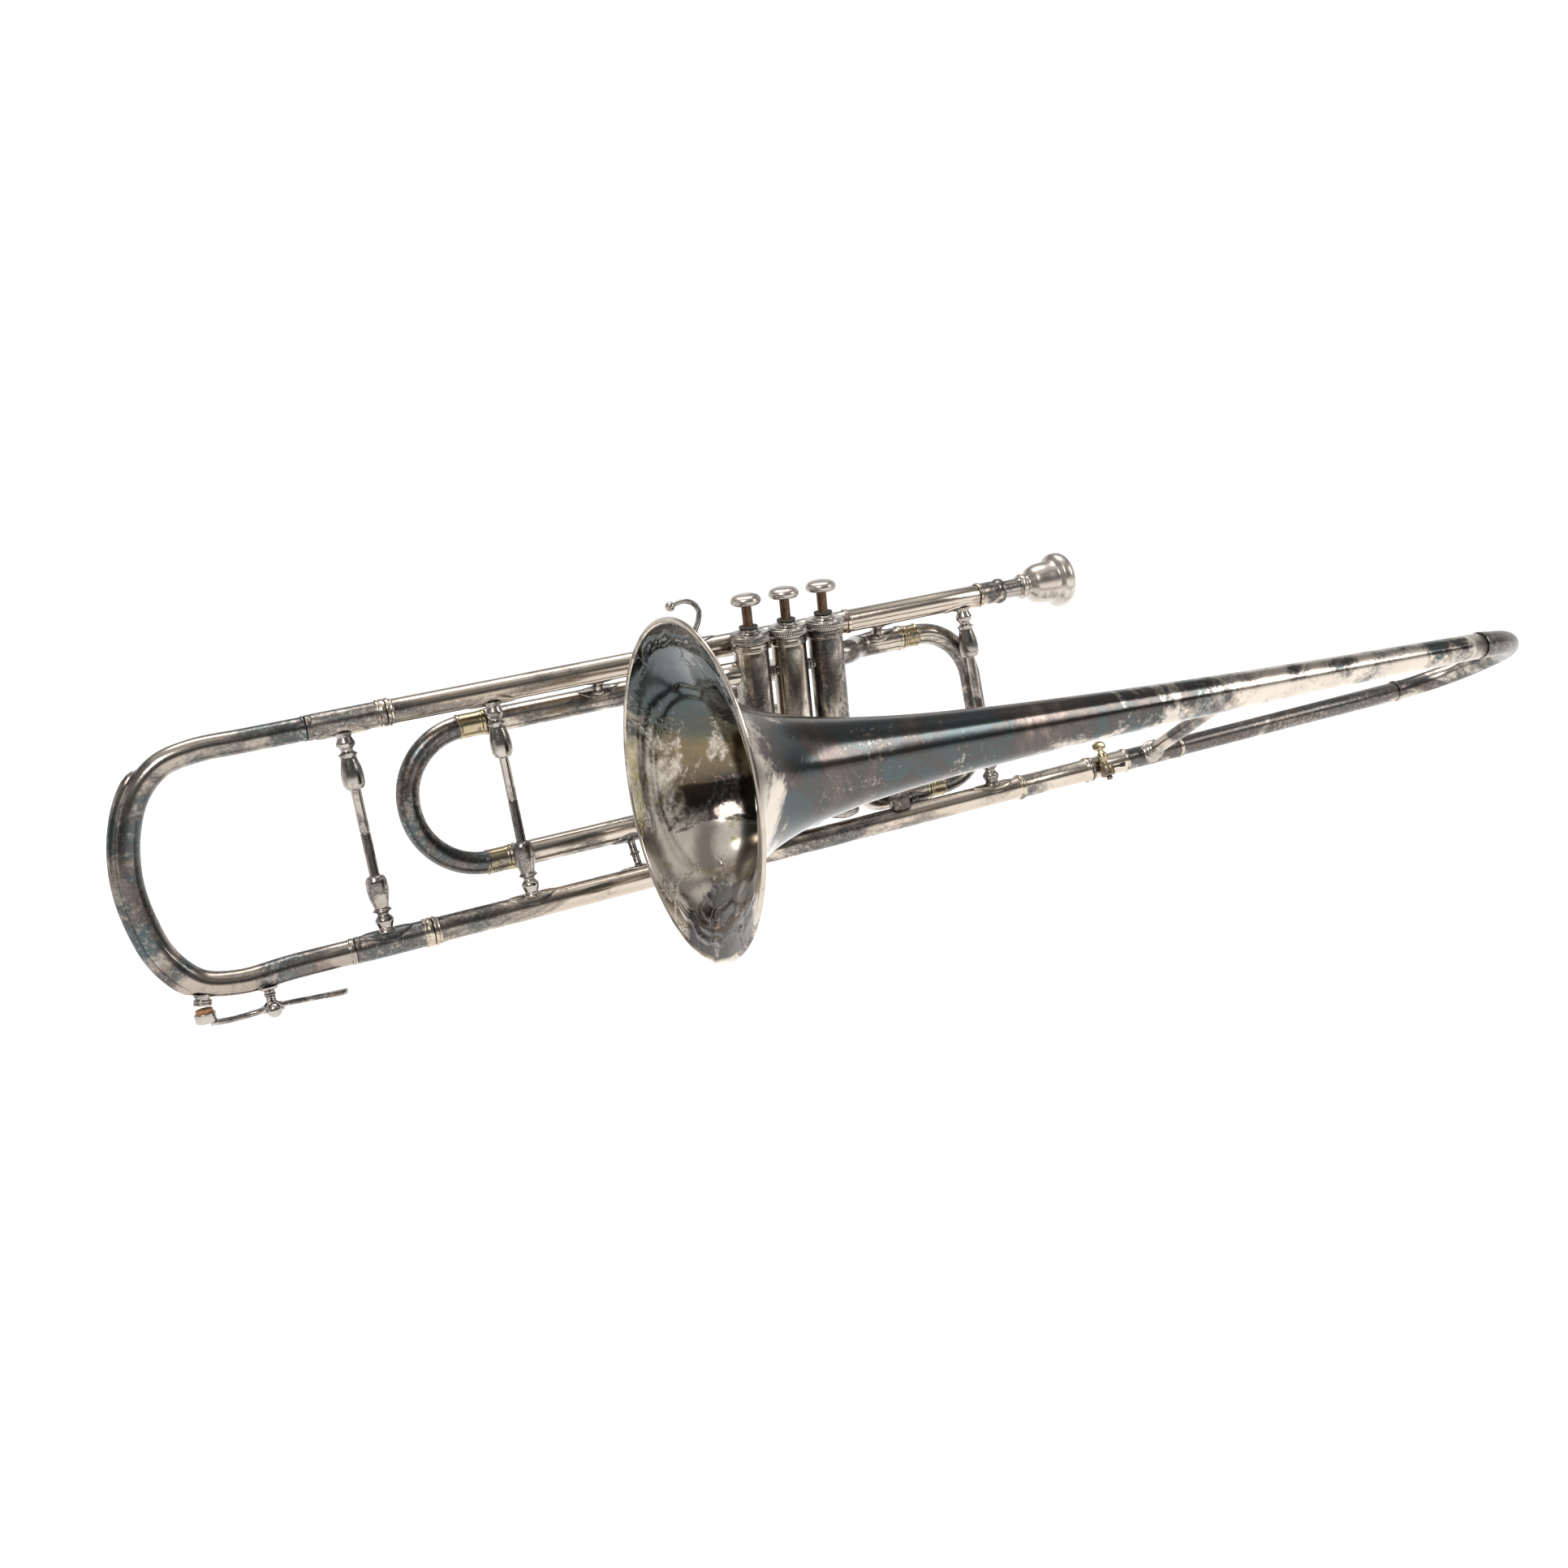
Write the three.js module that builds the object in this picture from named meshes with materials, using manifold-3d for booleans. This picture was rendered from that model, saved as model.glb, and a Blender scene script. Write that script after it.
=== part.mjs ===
// Valve trombone in B flat with three piston valves, silver-plated brass. Millimetres.
// +X runs along the tubes towards the player, +Z runs from the lower long tube up to the upper long tube,
// and the bell is on the -Y side. All lengths below are in a working frame whose x = 0 is beside the middle
// valve and whose z = 0 is on the lower front tube; the last line moves the whole horn so that the origin is
// the point on the middle casing's axis where the left hand holds it.
import * as THREE from "three";
import { mergeVertices } from "three/addons/utils/BufferGeometryUtils.js";
import Module from "manifold-3d";

// ---- long tubes of the valve section
const UPPER_Z = 125;
const REAR_Z = -3;
const UPPER_RADIUS = 6.9;
const UPPER_BORE = 6.3;
const FRONT_RADIUS = 7.4;
const FRONT_BORE = 6.7;
const REAR_RADIUS = 7.05;
const REAR_BORE = 6.35;
const FIXED_FRONT_X = -238;
const FRONT_TUBE_END_X = -62;
const REAR_TUBE_START_X = -40;
const SOCKET_X = 150;
const SOCKET_END_X = 204;
const RECEIVER_X = 142;
const RECEIVER_END_X = 161;

// ---- main tuning slide at the front
const SLEEVE_FRONT_X = -281;
const LEG_LENGTH_INSIDE = 72;
const BOW_RADIUS = 6.8;
const BOW_BORE = 6.0;
const GUARD_RADIUS = 3.6;
const GUARD_OFFSET = 6.0;
const FRONT_BRACE_X = -262.5;

// ---- water key under the bow
const KEY_PIVOT = [-329.4, 0, -18.5];
const NIPPLE_X = -361.5;
const NIPPLE_BOTTOM_Z = -8.2;

// ---- valves, numbered from the player
const VALVE_X = [23.9, -0.7, -25.3];
const VALVE_LEAN = THREE.MathUtils.degToRad(11.8);
const VALVE_Y_AT_TOP = -20;
const CASING_RADIUS = 10.5;
const CASING_BORE = 9.6;
const CASING_TOP = 124;
const CASING_BOTTOM = 14;
const CAP_RADIUS = 12.3;
const CAP_TOP = 130.4;
const CAP_BOSS_TOP = 132.6;
const FELT_TOP = 134.4;
const BUTTON_RADIUS = 8.9;
const BUTTON_BOTTOM = 146.4;
const BUTTON_TOP = 152.8;
const STEM_RADIUS = 3;
const PISTON_RADIUS = 9.3;
const PISTON_TOP = 118;
const PISTON_BOTTOM = 42;
const PISTON_FLOOR = 60;

// ---- valve slides
const LOOP_Y = 13.5;
const THIRD_UPPER_Z = 108.5;
const THIRD_LOWER_Z = 29;
const THIRD_SLEEVE_X = -182;
const THIRD_CROOK_X = -234.2;
const FIRST_UPPER_Z = 107.7;
const FIRST_LOWER_Z = 9.6;
const FIRST_SLEEVE_X = 89.5;
const FIRST_CROOK_X = 135.7;
const FIRST_CROOK_BEND = 34;
const SECOND_UPPER_Z = 104;
const SECOND_LOWER_Z = 76;
const SECOND_SLEEVE_Y = 52;
const SECOND_CROOK_Y = 81;
const SLEEVE_RADIUS = 7.3;
const SLEEVE_BORE = 6.5;
const LOOP_LEG_RADIUS = 5.9;
const CROOK_RADIUS = 6.6;

// ---- bell section
const BELL_MOUTH = new THREE.Vector3(-113, -116, 57.8);
const BELL_AXIS = new THREE.Vector3(1, 0.0436, -0.05).normalize();
const BELL_RADIUS = 90;
const BELL_LENGTH = 579;
const FLARE_LENGTH = 13.6;
const FLARE_POWER = 0.62;
const BELL_WALL = 1;
const RIM_RADIUS = 2;
const COLLAR_END_X = 234;
const FERRULE_END_X = 280;
const GOOSENECK_END_X = 474;
const GOOSENECK_RADIUS = 6.75;
const REAR_BOW_REACH = 49;

const GAP = 0.3;

const wasm = await Module();
wasm.setup();

const SILVER = 0xb5aa9c;
const TARNISH = 0x6b6560;
const BRASS = 0xa08c50;
const STEM_BROWN = 0x6a4630;

const horn = new THREE.Group();

function addPiece(name, geometry, colour = SILVER, roughness = 0.35, metalness = 1) {
  const material = new THREE.MeshStandardMaterial({ color: colour, roughness, metalness });
  const piece = new THREE.Mesh(geometry, material);
  piece.name = name;
  horn.add(piece);
  return piece;
}

// ---- joining and cutting of closed geometries
function solidOf(geometry) {
  const plain = geometry.index ? geometry.toNonIndexed() : geometry.clone();
  plain.deleteAttribute("normal");
  plain.deleteAttribute("uv");
  const merged = mergeVertices(plain, 1e-4);
  const kept = [];
  const index = merged.index.array;
  for (let i = 0; i < index.length; i += 3) {
    const [a, b, c] = [index[i], index[i + 1], index[i + 2]];
    if (a !== b && b !== c && a !== c) kept.push(a, b, c);
  }
  return new wasm.Manifold(
    new wasm.Mesh({
      numProp: 3,
      vertProperties: merged.attributes.position.array,
      triVerts: new Uint32Array(kept),
    }),
  );
}

function geometryOf(solid) {
  const mesh = solid.getMesh();
  const geometry = new THREE.BufferGeometry();
  geometry.setAttribute("position", new THREE.BufferAttribute(mesh.vertProperties.slice(), 3));
  geometry.setIndex([...mesh.triVerts]);
  return geometry;
}

function cut(geometry, ...tools) {
  return geometryOf(tools.reduce((solid, tool) => solid.subtract(solidOf(tool)), solidOf(geometry)));
}

function join(geometry, ...others) {
  return geometryOf(others.reduce((solid, other) => solid.add(solidOf(other)), solidOf(geometry)));
}

// The body of a cut piece that holds most of the material.
function largestBody(geometry) {
  const bodies = solidOf(geometry).decompose();
  bodies.sort((a, b) => b.volume() - a.volume());
  return geometryOf(bodies[0]);
}

// Turns the faces outwards when a profile ran the other way round.
function facingOut(geometry) {
  const plain = geometry.toNonIndexed();
  const p = plain.attributes.position;
  const [a, b, c] = [new THREE.Vector3(), new THREE.Vector3(), new THREE.Vector3()];
  let volume = 0;
  for (let i = 0; i < p.count; i += 3) {
    a.fromBufferAttribute(p, i);
    b.fromBufferAttribute(p, i + 1);
    c.fromBufferAttribute(p, i + 2);
    volume += a.dot(b.cross(c));
  }
  if (volume > 0) return geometry;
  const index = [...geometry.index.array];
  for (let i = 0; i < index.length; i += 3) [index[i], index[i + 1]] = [index[i + 1], index[i]];
  geometry.setIndex(index);
  return geometry;
}

// ---- turned pieces: a profile of [radius, length along the axis] pairs
function turned(profile, sides, origin, direction) {
  const points = profile.map(([radius, along]) => new THREE.Vector2(radius, along));
  const geometry = facingOut(new THREE.LatheGeometry(points, sides));
  const turn = new THREE.Quaternion().setFromUnitVectors(new THREE.Vector3(0, 1, 0), direction);
  geometry.applyQuaternion(turn);
  geometry.translate(origin.x, origin.y, origin.z);
  return geometry;
}

// Closes an outside profile with a bore of its own profile into a loop.
function hollow(outside, inside) {
  return [...outside, ...[...inside].reverse(), outside[0]];
}

const ALONG_X = new THREE.Vector3(1, 0, 0);

function turnedOnX(profile, sides, y, z) {
  return turned(profile, sides, new THREE.Vector3(0, y, z), ALONG_X);
}

function rod(start, end, radius, sides = 10) {
  const direction = end.clone().sub(start);
  const length = direction.length();
  return turned([[0, 0], [radius, 0], [radius, length], [0, length]], sides, start, direction.normalize());
}

// ---- bent pieces: a turned profile carried along a curve
function table(pairs, s) {
  if (s <= pairs[0][0]) return pairs[0][1];
  for (let i = 1; i < pairs.length; i++) {
    const [s0, r0] = pairs[i - 1];
    const [s1, r1] = pairs[i];
    if (s <= s1) return r0 + ((r1 - r0) * (s - s0)) / (s1 - s0);
  }
  return pairs[pairs.length - 1][1];
}

function stationsAlong(curve, lengths, turn) {
  const total = curve.getLength();
  const fine = 300;
  const found = [0, 1, ...lengths.map((s) => s / total)];
  let kept = curve.getTangentAt(0);
  let before = kept;
  let bending = false;
  let lastBend = -9;
  for (let i = 1; i < fine; i++) {
    const now = curve.getTangentAt(i / fine);
    const bends = now.angleTo(before) > 0.003;
    if (bends !== bending && i - 1 - lastBend > 4) {
      found.push((i - 1) / fine);
      kept = before;
      lastBend = i - 1;
    } else if (now.angleTo(kept) > turn) {
      found.push(i / fine);
      kept = now;
    }
    bending = bends;
    before = now;
  }
  found.sort((a, b) => a - b);
  return found.filter((u, i) => u >= 0 && u <= 1 && (i === 0 || (u - found[i - 1]) * total > 0.3));
}

function pipe(curve, outside, bore, sides = 8, turn = 0.4) {
  const total = curve.getLength();
  const stations = stationsAlong(curve, outside.map(([s]) => s), turn);
  const outer = stations.map((u, i) => [table(outside, u * total), i]);
  const inner = bore ? stations.map((u, i) => [table(bore, u * total), i]) : null;
  const last = stations.length - 1;
  const profile = inner ? hollow(outer, inner) : [[0, 0], ...outer, [0, last]];
  const points = profile.map(([radius, along]) => new THREE.Vector2(radius, along));
  const geometry = new THREE.LatheGeometry(points, sides);
  let side = new THREE.Vector3(0, 1, 0.01);
  if (Math.abs(curve.getTangentAt(0).y) > 0.9) side = new THREE.Vector3(1, 0, 0.01);
  const frames = stations.map((u) => {
    const tangent = curve.getTangentAt(u);
    side = side.clone().addScaledVector(tangent, -side.dot(tangent)).normalize();
    return { point: curve.getPointAt(u), side, other: side.clone().cross(tangent) };
  });
  const p = geometry.attributes.position;
  const at = new THREE.Vector3();
  for (let i = 0; i < p.count; i++) {
    const frame = frames[Math.round(p.getY(i))];
    at.copy(frame.point).addScaledVector(frame.side, p.getX(i)).addScaledVector(frame.other, p.getZ(i));
    p.setXYZ(i, at.x, at.y, at.z);
  }
  return facingOut(geometry);
}

// A path of straight runs whose corners are rounded with the given bend radius.
function route(corners, bend) {
  const path = new THREE.CurvePath();
  const points = corners.map(([x, y, z]) => new THREE.Vector3(x, y, z));
  let from = points[0];
  for (let i = 1; i < points.length - 1; i++) {
    const into = points[i].clone().sub(points[i - 1]).normalize();
    const out = points[i + 1].clone().sub(points[i]).normalize();
    const angle = into.angleTo(out);
    const back = bend * Math.tan(angle / 2);
    const pull = (4 / 3) * Math.tan(angle / 4) * bend;
    const start = points[i].clone().addScaledVector(into, -back);
    const end = points[i].clone().addScaledVector(out, back);
    if (from.distanceTo(start) > 0.01) path.add(new THREE.LineCurve3(from, start));
    const handleIn = start.clone().addScaledVector(into, pull);
    const handleOut = end.clone().addScaledVector(out, -pull);
    path.add(new THREE.CubicBezierCurve3(start, handleIn, handleOut, end));
    from = end;
  }
  path.add(new THREE.LineCurve3(from, points[points.length - 1]));
  return path;
}

function vector(x, y, z) {
  return new THREE.Vector3(x, y, z);
}

// ---- long tubes
const upperTube = turnedOnX(
  hollow(
    [
      [UPPER_RADIUS + 1.1, FIXED_FRONT_X], [UPPER_RADIUS + 1.1, FIXED_FRONT_X + 2.2],
      [UPPER_RADIUS + 0.1, FIXED_FRONT_X + 2.8], [UPPER_RADIUS, 46.4], [UPPER_RADIUS + 0.5, 47.2],
      [UPPER_RADIUS + 0.5, 48.8], [UPPER_RADIUS, 49.6], [UPPER_RADIUS, RECEIVER_X - GAP],
    ],
    [[UPPER_BORE, FIXED_FRONT_X], [UPPER_BORE, RECEIVER_X - GAP]],
  ),
  12, 0, UPPER_Z,
);
addPiece("upper_tube", upperTube);

addPiece(
  "mouthpiece_receiver",
  turnedOnX(
    hollow(
      [
        [7.9, RECEIVER_X], [7.9, RECEIVER_X + 2.6], [7.3, RECEIVER_X + 3.2], [7.1, RECEIVER_END_X - 4],
        [7.9, RECEIVER_END_X - 3], [7.9, RECEIVER_END_X],
      ],
      [[UPPER_BORE, RECEIVER_X], [6.35, RECEIVER_END_X]],
    ),
    12, 0, UPPER_Z,
  ),
  TARNISH,
);

const frontTube = turnedOnX(
  hollow(
    [
      [FRONT_RADIUS + 1.1, FIXED_FRONT_X], [FRONT_RADIUS + 1.1, FIXED_FRONT_X + 2.2],
      [FRONT_RADIUS, FIXED_FRONT_X + 2.8], [FRONT_RADIUS, FRONT_TUBE_END_X],
    ],
    [[FRONT_BORE, FIXED_FRONT_X], [FRONT_BORE, FRONT_TUBE_END_X]],
  ),
  12, 0, 0,
);
addPiece("lower_front_tube", frontTube);

const rearTube = turnedOnX(
  hollow(
    [
      [REAR_RADIUS - 1.5, REAR_TUBE_START_X], [REAR_RADIUS, REAR_TUBE_START_X + 2],
      [REAR_RADIUS, SOCKET_X - 0.6], [8.2, SOCKET_X], [8.2, SOCKET_X + 1.6], [7.4, SOCKET_X + 2.4],
      [7.4, SOCKET_END_X - 3], [8.3, SOCKET_END_X - 2.4], [8.3, SOCKET_END_X],
    ],
    [[REAR_BORE - 1.5, REAR_TUBE_START_X], [REAR_BORE, REAR_TUBE_START_X + 2], [REAR_BORE, SOCKET_END_X]],
  ),
  12, 0, REAR_Z,
);
addPiece("lower_rear_tube", rearTube);

// ---- valve casings, caps and felts, each turned on its own leaning axis
const VALVE_AXIS = vector(0, -Math.sin(VALVE_LEAN), Math.cos(VALVE_LEAN));

function valveY(z) {
  return VALVE_Y_AT_TOP + (UPPER_Z - z) * Math.tan(VALVE_LEAN);
}

// A turned piece whose profile heights are z heights on the valve's axis.
function onValve(number, profile, sides) {
  const scaled = profile.map(([radius, z]) => [radius, z / Math.cos(VALVE_LEAN)]);
  return turned(scaled, sides, vector(VALVE_X[number - 1], valveY(0), 0), VALVE_AXIS);
}

const casingSolids = [1, 2, 3].map((number) =>
  onValve(
    number,
    [
      [0, 2], [11.6, 2], [11.6, CASING_BOTTOM], [CASING_RADIUS + GAP, CASING_BOTTOM],
      [CASING_RADIUS + GAP, CASING_TOP + 8], [0, CASING_TOP + 8],
    ],
    16,
  ),
);

for (const number of [1, 2, 3]) {
  addPiece(
    "casing_" + number,
    onValve(
      number,
      hollow(
        [[CASING_RADIUS, CASING_BOTTOM], [CASING_RADIUS, CASING_TOP]],
        [[CASING_BORE, CASING_BOTTOM], [CASING_BORE, CASING_TOP]],
      ),
      16,
    ),
  );
  addPiece(
    "top_cap_" + number,
    onValve(
      number,
      hollow(
        [
          [CASING_RADIUS + 0.3, CASING_TOP + GAP], [CAP_RADIUS - 0.9, CASING_TOP + 1],
          [CAP_RADIUS, CASING_TOP + 2], [CAP_RADIUS, CASING_TOP + 4.6], [CAP_RADIUS - 0.8, CASING_TOP + 5.4],
          [CAP_RADIUS - 1.2, CAP_TOP], [5.8, CAP_TOP], [5.8, CAP_BOSS_TOP],
        ],
        [
          [CASING_BORE, CASING_TOP + GAP], [CASING_BORE, CASING_TOP + 4],
          [STEM_RADIUS + 0.5, CASING_TOP + 4.4], [STEM_RADIUS + 0.5, CAP_BOSS_TOP],
        ],
      ),
      14,
    ),
  );
  addPiece(
    "bottom_cap_" + number,
    onValve(
      number,
      [
        [0, 9.2], [4, 9.2], [4.4, 8], [9.6, 8], [11.2, 9], [11.2, 11.6], [CASING_RADIUS, CASING_BOTTOM - GAP],
        [CASING_BORE - GAP, CASING_BOTTOM - GAP], [CASING_BORE - GAP, CASING_BOTTOM + 4],
        [8.3, CASING_BOTTOM + 4], [8.3, 10.4], [0, 10.4],
      ],
      14,
    ),
  );
  addPiece(
    "felt_" + number,
    onValve(
      number,
      hollow(
        [[5.6, CAP_BOSS_TOP + GAP], [5.6, FELT_TOP]],
        [[STEM_RADIUS + 0.4, CAP_BOSS_TOP + GAP], [STEM_RADIUS + 0.4, FELT_TOP]],
      ),
      12,
    ),
    0x2c2926, 0.95, 0,
  );
  const piston = onValve(
    number,
    [
      [2.5, PISTON_FLOOR], [PISTON_RADIUS - 1.4, PISTON_FLOOR], [PISTON_RADIUS - 1.4, PISTON_BOTTOM],
      [PISTON_RADIUS, PISTON_BOTTOM], [PISTON_RADIUS, PISTON_TOP], [4.5, PISTON_TOP],
      [4.5, PISTON_TOP + 2], [STEM_RADIUS, PISTON_TOP + 2], [STEM_RADIUS, BUTTON_BOTTOM - GAP],
      [0, BUTTON_BOTTOM - GAP], [0, PISTON_TOP - 1.5], [PISTON_RADIUS - 1, PISTON_TOP - 1.5],
      [PISTON_RADIUS - 1, PISTON_FLOOR + 1.5], [2.5, PISTON_FLOOR + 1.5], [2.5, PISTON_FLOOR],
    ],
    14,
  );
  addPiece("piston_" + number, geometryOf(solidOf(piston)), STEM_BROWN, 0.4);
  addPiece(
    "button_" + number,
    onValve(
      number,
      [
        [0, BUTTON_BOTTOM], [4.2, BUTTON_BOTTOM], [7.4, BUTTON_BOTTOM + 0.7],
        [BUTTON_RADIUS - 0.3, BUTTON_BOTTOM + 1.7], [BUTTON_RADIUS, BUTTON_BOTTOM + 2.8],
        [BUTTON_RADIUS - 0.4, BUTTON_BOTTOM + 4],
        [7.2, BUTTON_TOP - 1.2], [4, BUTTON_TOP - 0.3],
        [0, BUTTON_TOP],
      ],
      14,
    ),
    SILVER, 0.25,
  );
}

// ---- return springs, one in each casing under the piston
const SPRING_BOTTOM = 12.5;
const SPRING_TOP = 58.5;
const SPRING_RADIUS = 5.6;
const SPRING_WIRE = 0.55;
const SPRING_TURNS = 4;

class CoilCurve extends THREE.Curve {
  constructor(number) {
    super();
    this.x = VALVE_X[number - 1];
  }

  getPoint(t, target = new THREE.Vector3()) {
    const z = SPRING_BOTTOM + (SPRING_TOP - SPRING_BOTTOM) * t;
    const angle = 2 * Math.PI * SPRING_TURNS * t;
    const across = SPRING_RADIUS * Math.sin(angle);
    target.set(this.x + SPRING_RADIUS * Math.cos(angle), valveY(z) + across, z);
    return target;
  }
}

for (const number of [1, 2, 3]) {
  const section = new THREE.Shape();
  section.absarc(0, 0, SPRING_WIRE, 0, 2 * Math.PI, false);
  const coil = new THREE.ExtrudeGeometry(section, {
    steps: SPRING_TURNS * 7,
    curveSegments: 2,
    extrudePath: new CoilCurve(number),
    bevelEnabled: false,
  });
  addPiece("valve_spring_" + number, coil, 0x8a857c, 0.4);
}

// ---- turned links between the casings
for (const [name, left, right] of [["casing_link_12", 1, 0], ["casing_link_23", 2, 1]]) {
  const x0 = VALVE_X[left] + CASING_RADIUS - 1.2;
  const x1 = VALVE_X[right] - CASING_RADIUS + 1.2;
  const middle = (x0 + x1) / 2;
  const link = turnedOnX(
    [
      [0, x0], [3.1, x0], [3.1, middle - 0.9], [2.5, middle - 0.5], [2.5, middle + 0.5],
      [3.1, middle + 0.9], [3.1, x1], [0, x1],
    ],
    14, valveY(105) - 1, 105,
  );
  addPiece(name, cut(link, casingSolids[left], casingSolids[right]));
}

// ---- inlet knuckle from the lower front tube into valve 3, and outlet knuckle from valve 1
const inlet = pipe(
  new THREE.CubicBezierCurve3(
    vector(FRONT_TUBE_END_X + GAP, 0, 0), vector(-46, 0, 0), vector(-52, 3, 19), vector(-30, 2, 19),
  ),
  [[0, FRONT_RADIUS], [3, FRONT_RADIUS], [5, 6.8], [90, 6.8]], [[0, 6], [90, 6]],
);
addPiece("inlet_knuckle", largestBody(cut(inlet, casingSolids[2])));

const rearTubeSolid = turnedOnX([[0, -60], [REAR_RADIUS + GAP, -60], [REAR_RADIUS + GAP, 140], [0, 140]],
  18, 0, REAR_Z);
const outlet = pipe(
  new THREE.CubicBezierCurve3(
    vector(28, -3, 42), vector(52, -3, 42), vector(62, -1.5, 30), vector(62, -1.5, -1),
  ),
  [[0, 6.2], [90, 6.2]], [[0, 5.4], [90, 5.4]],
);
addPiece("outlet_knuckle", largestBody(cut(outlet, casingSolids[0], rearTubeSolid)));

// ---- sleeves that the three valve slides push into; each bends forward into its casing
function sleeve(name, number, corners, bend) {
  const curve = route(corners, bend);
  const total = curve.getLength();
  const tube = pipe(
    curve,
    [[0, SLEEVE_RADIUS], [total, SLEEVE_RADIUS]],
    [[0, SLEEVE_BORE], [total, SLEEVE_BORE]],
  );
  addPiece(name, largestBody(cut(tube, casingSolids[number - 1])));
}

sleeve("third_slide_sleeve_upper", 3, [
  [THIRD_SLEEVE_X, LOOP_Y, THIRD_UPPER_Z], [-62, LOOP_Y, THIRD_UPPER_Z],
  [-42, -12, THIRD_UPPER_Z - 1], [-25, -14, THIRD_UPPER_Z - 1],
], 16);
sleeve("third_slide_sleeve_lower", 3, [
  [THIRD_SLEEVE_X, LOOP_Y, THIRD_LOWER_Z], [-66, LOOP_Y, THIRD_LOWER_Z],
  [-44, 1, 36], [-25, 0, 37],
], 16);
sleeve("first_slide_sleeve_upper", 1, [
  [FIRST_SLEEVE_X, LOOP_Y, FIRST_UPPER_Z], [58, LOOP_Y, FIRST_UPPER_Z],
  [40, -12, FIRST_UPPER_Z - 1], [24, -14, FIRST_UPPER_Z - 1],
], 14);
sleeve("first_slide_sleeve_lower", 1, [
  [FIRST_SLEEVE_X, LOOP_Y, FIRST_LOWER_Z], [52, LOOP_Y, FIRST_LOWER_Z],
  [40, 6, 19], [24, 3, 20],
], 12);
for (const side of ["upper", "lower"]) {
  const z = side === "upper" ? SECOND_UPPER_Z : SECOND_LOWER_Z;
  const tube = turned(
    hollow([[6.8, 0], [6.8, SECOND_SLEEVE_Y - valveY(z)]], [[6.2, 0], [6.2, SECOND_SLEEVE_Y - valveY(z)]]),
    12, vector(VALVE_X[1], valveY(z), z), vector(0, 1, 0),
  );
  addPiece("second_slide_sleeve_" + side, largestBody(cut(tube, casingSolids[1])));
}

// ---- the three valve slides: leg, ferrule, crook, ferrule, leg in one bent tube
function valveSlide(name, corners, bend, legLength, legRadius, ferrule, crookRadius) {
  const curve = route(corners, bend);
  const total = curve.getLength();
  const outside = [
    [0, legRadius], [legLength, legRadius],
    [legLength + 0.4, crookRadius + 1], [legLength + 2, crookRadius + 1],
    [legLength + 2.5, crookRadius + 0.55], [legLength + ferrule, crookRadius + 0.55],
    [legLength + ferrule + 0.5, crookRadius],
  ];
  const mirrored = outside.map(([s, radius]) => [total - s, radius]).reverse();
  addPiece(
    name,
    pipe(curve, [...outside, ...mirrored], [[0, legRadius - 0.7], [total, legRadius - 0.7]]),
    BRASS,
  );
}

const THIRD_LEG = 104;
valveSlide(
  "third_valve_slide",
  [
    [THIRD_SLEEVE_X - GAP + THIRD_LEG, LOOP_Y, THIRD_UPPER_Z], [THIRD_CROOK_X, LOOP_Y, THIRD_UPPER_Z],
    [THIRD_CROOK_X, LOOP_Y, THIRD_LOWER_Z], [THIRD_SLEEVE_X - GAP + THIRD_LEG, LOOP_Y, THIRD_LOWER_Z],
  ],
  (THIRD_UPPER_Z - THIRD_LOWER_Z) / 2 - 0.6, THIRD_LEG, LOOP_LEG_RADIUS, 16, CROOK_RADIUS,
);

const FIRST_LEG = 26;
valveSlide(
  "first_valve_slide",
  [
    [FIRST_SLEEVE_X + GAP - FIRST_LEG, LOOP_Y, FIRST_UPPER_Z], [FIRST_CROOK_X, LOOP_Y, FIRST_UPPER_Z],
    [FIRST_CROOK_X, LOOP_Y, FIRST_LOWER_Z], [FIRST_SLEEVE_X + GAP - FIRST_LEG, LOOP_Y, FIRST_LOWER_Z],
  ],
  FIRST_CROOK_BEND, FIRST_LEG, LOOP_LEG_RADIUS, 11.5, CROOK_RADIUS,
);

const SECOND_LEG = 42;
valveSlide(
  "second_valve_slide",
  [
    [VALVE_X[1], SECOND_SLEEVE_Y + GAP - SECOND_LEG, SECOND_UPPER_Z],
    [VALVE_X[1], SECOND_CROOK_Y, SECOND_UPPER_Z], [VALVE_X[1], SECOND_CROOK_Y, SECOND_LOWER_Z],
    [VALVE_X[1], SECOND_SLEEVE_Y + GAP - SECOND_LEG, SECOND_LOWER_Z],
  ],
  (SECOND_UPPER_Z - SECOND_LOWER_Z) / 2 - 0.4, SECOND_LEG, 5.6, 9, 6.3,
);

// ---- braces: turned baluster posts whose ends are cut to sit on the tubes
const BRACE_END = [
  [0, 0], [5.4, 0], [5.2, 4], [3.9, 5.6], [5.2, 8.8], [3.4, 12], [5.7, 14.2], [4.2, 15.6], [5.8, 22],
  [6.1, 29], [4.9, 33], [2.9, 33.6],
];

function brace(name, x, y, bottom, top, ...tubes) {
  const length = top - bottom;
  const upperEnd = BRACE_END.map(([radius, along]) => [radius, length - along]).reverse();
  const post = turned([...BRACE_END, ...upperEnd], 8, vector(x, y, bottom), vector(0, 0, 1));
  addPiece(name, largestBody(cut(post, ...tubes)));
}

function envelope(x0, x1, radius, y, z) {
  return turnedOnX([[0, x0], [radius + GAP, x0], [radius + GAP, x1], [0, x1]], 18, y, z);
}

const upperEnvelope = envelope(-300, 200, UPPER_RADIUS, 0, UPPER_Z);
const frontEnvelope = envelope(-300, -50, FRONT_RADIUS, 0, 0);
const rearEnvelope = envelope(-50, 149, REAR_RADIUS, 0, REAR_Z);
brace("brace_middle", -179, -2, 4.5, 121, upperEnvelope, frontEnvelope);
brace("brace_rear", 130, -1.5, 1.5, 121, upperEnvelope, rearEnvelope);

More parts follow.
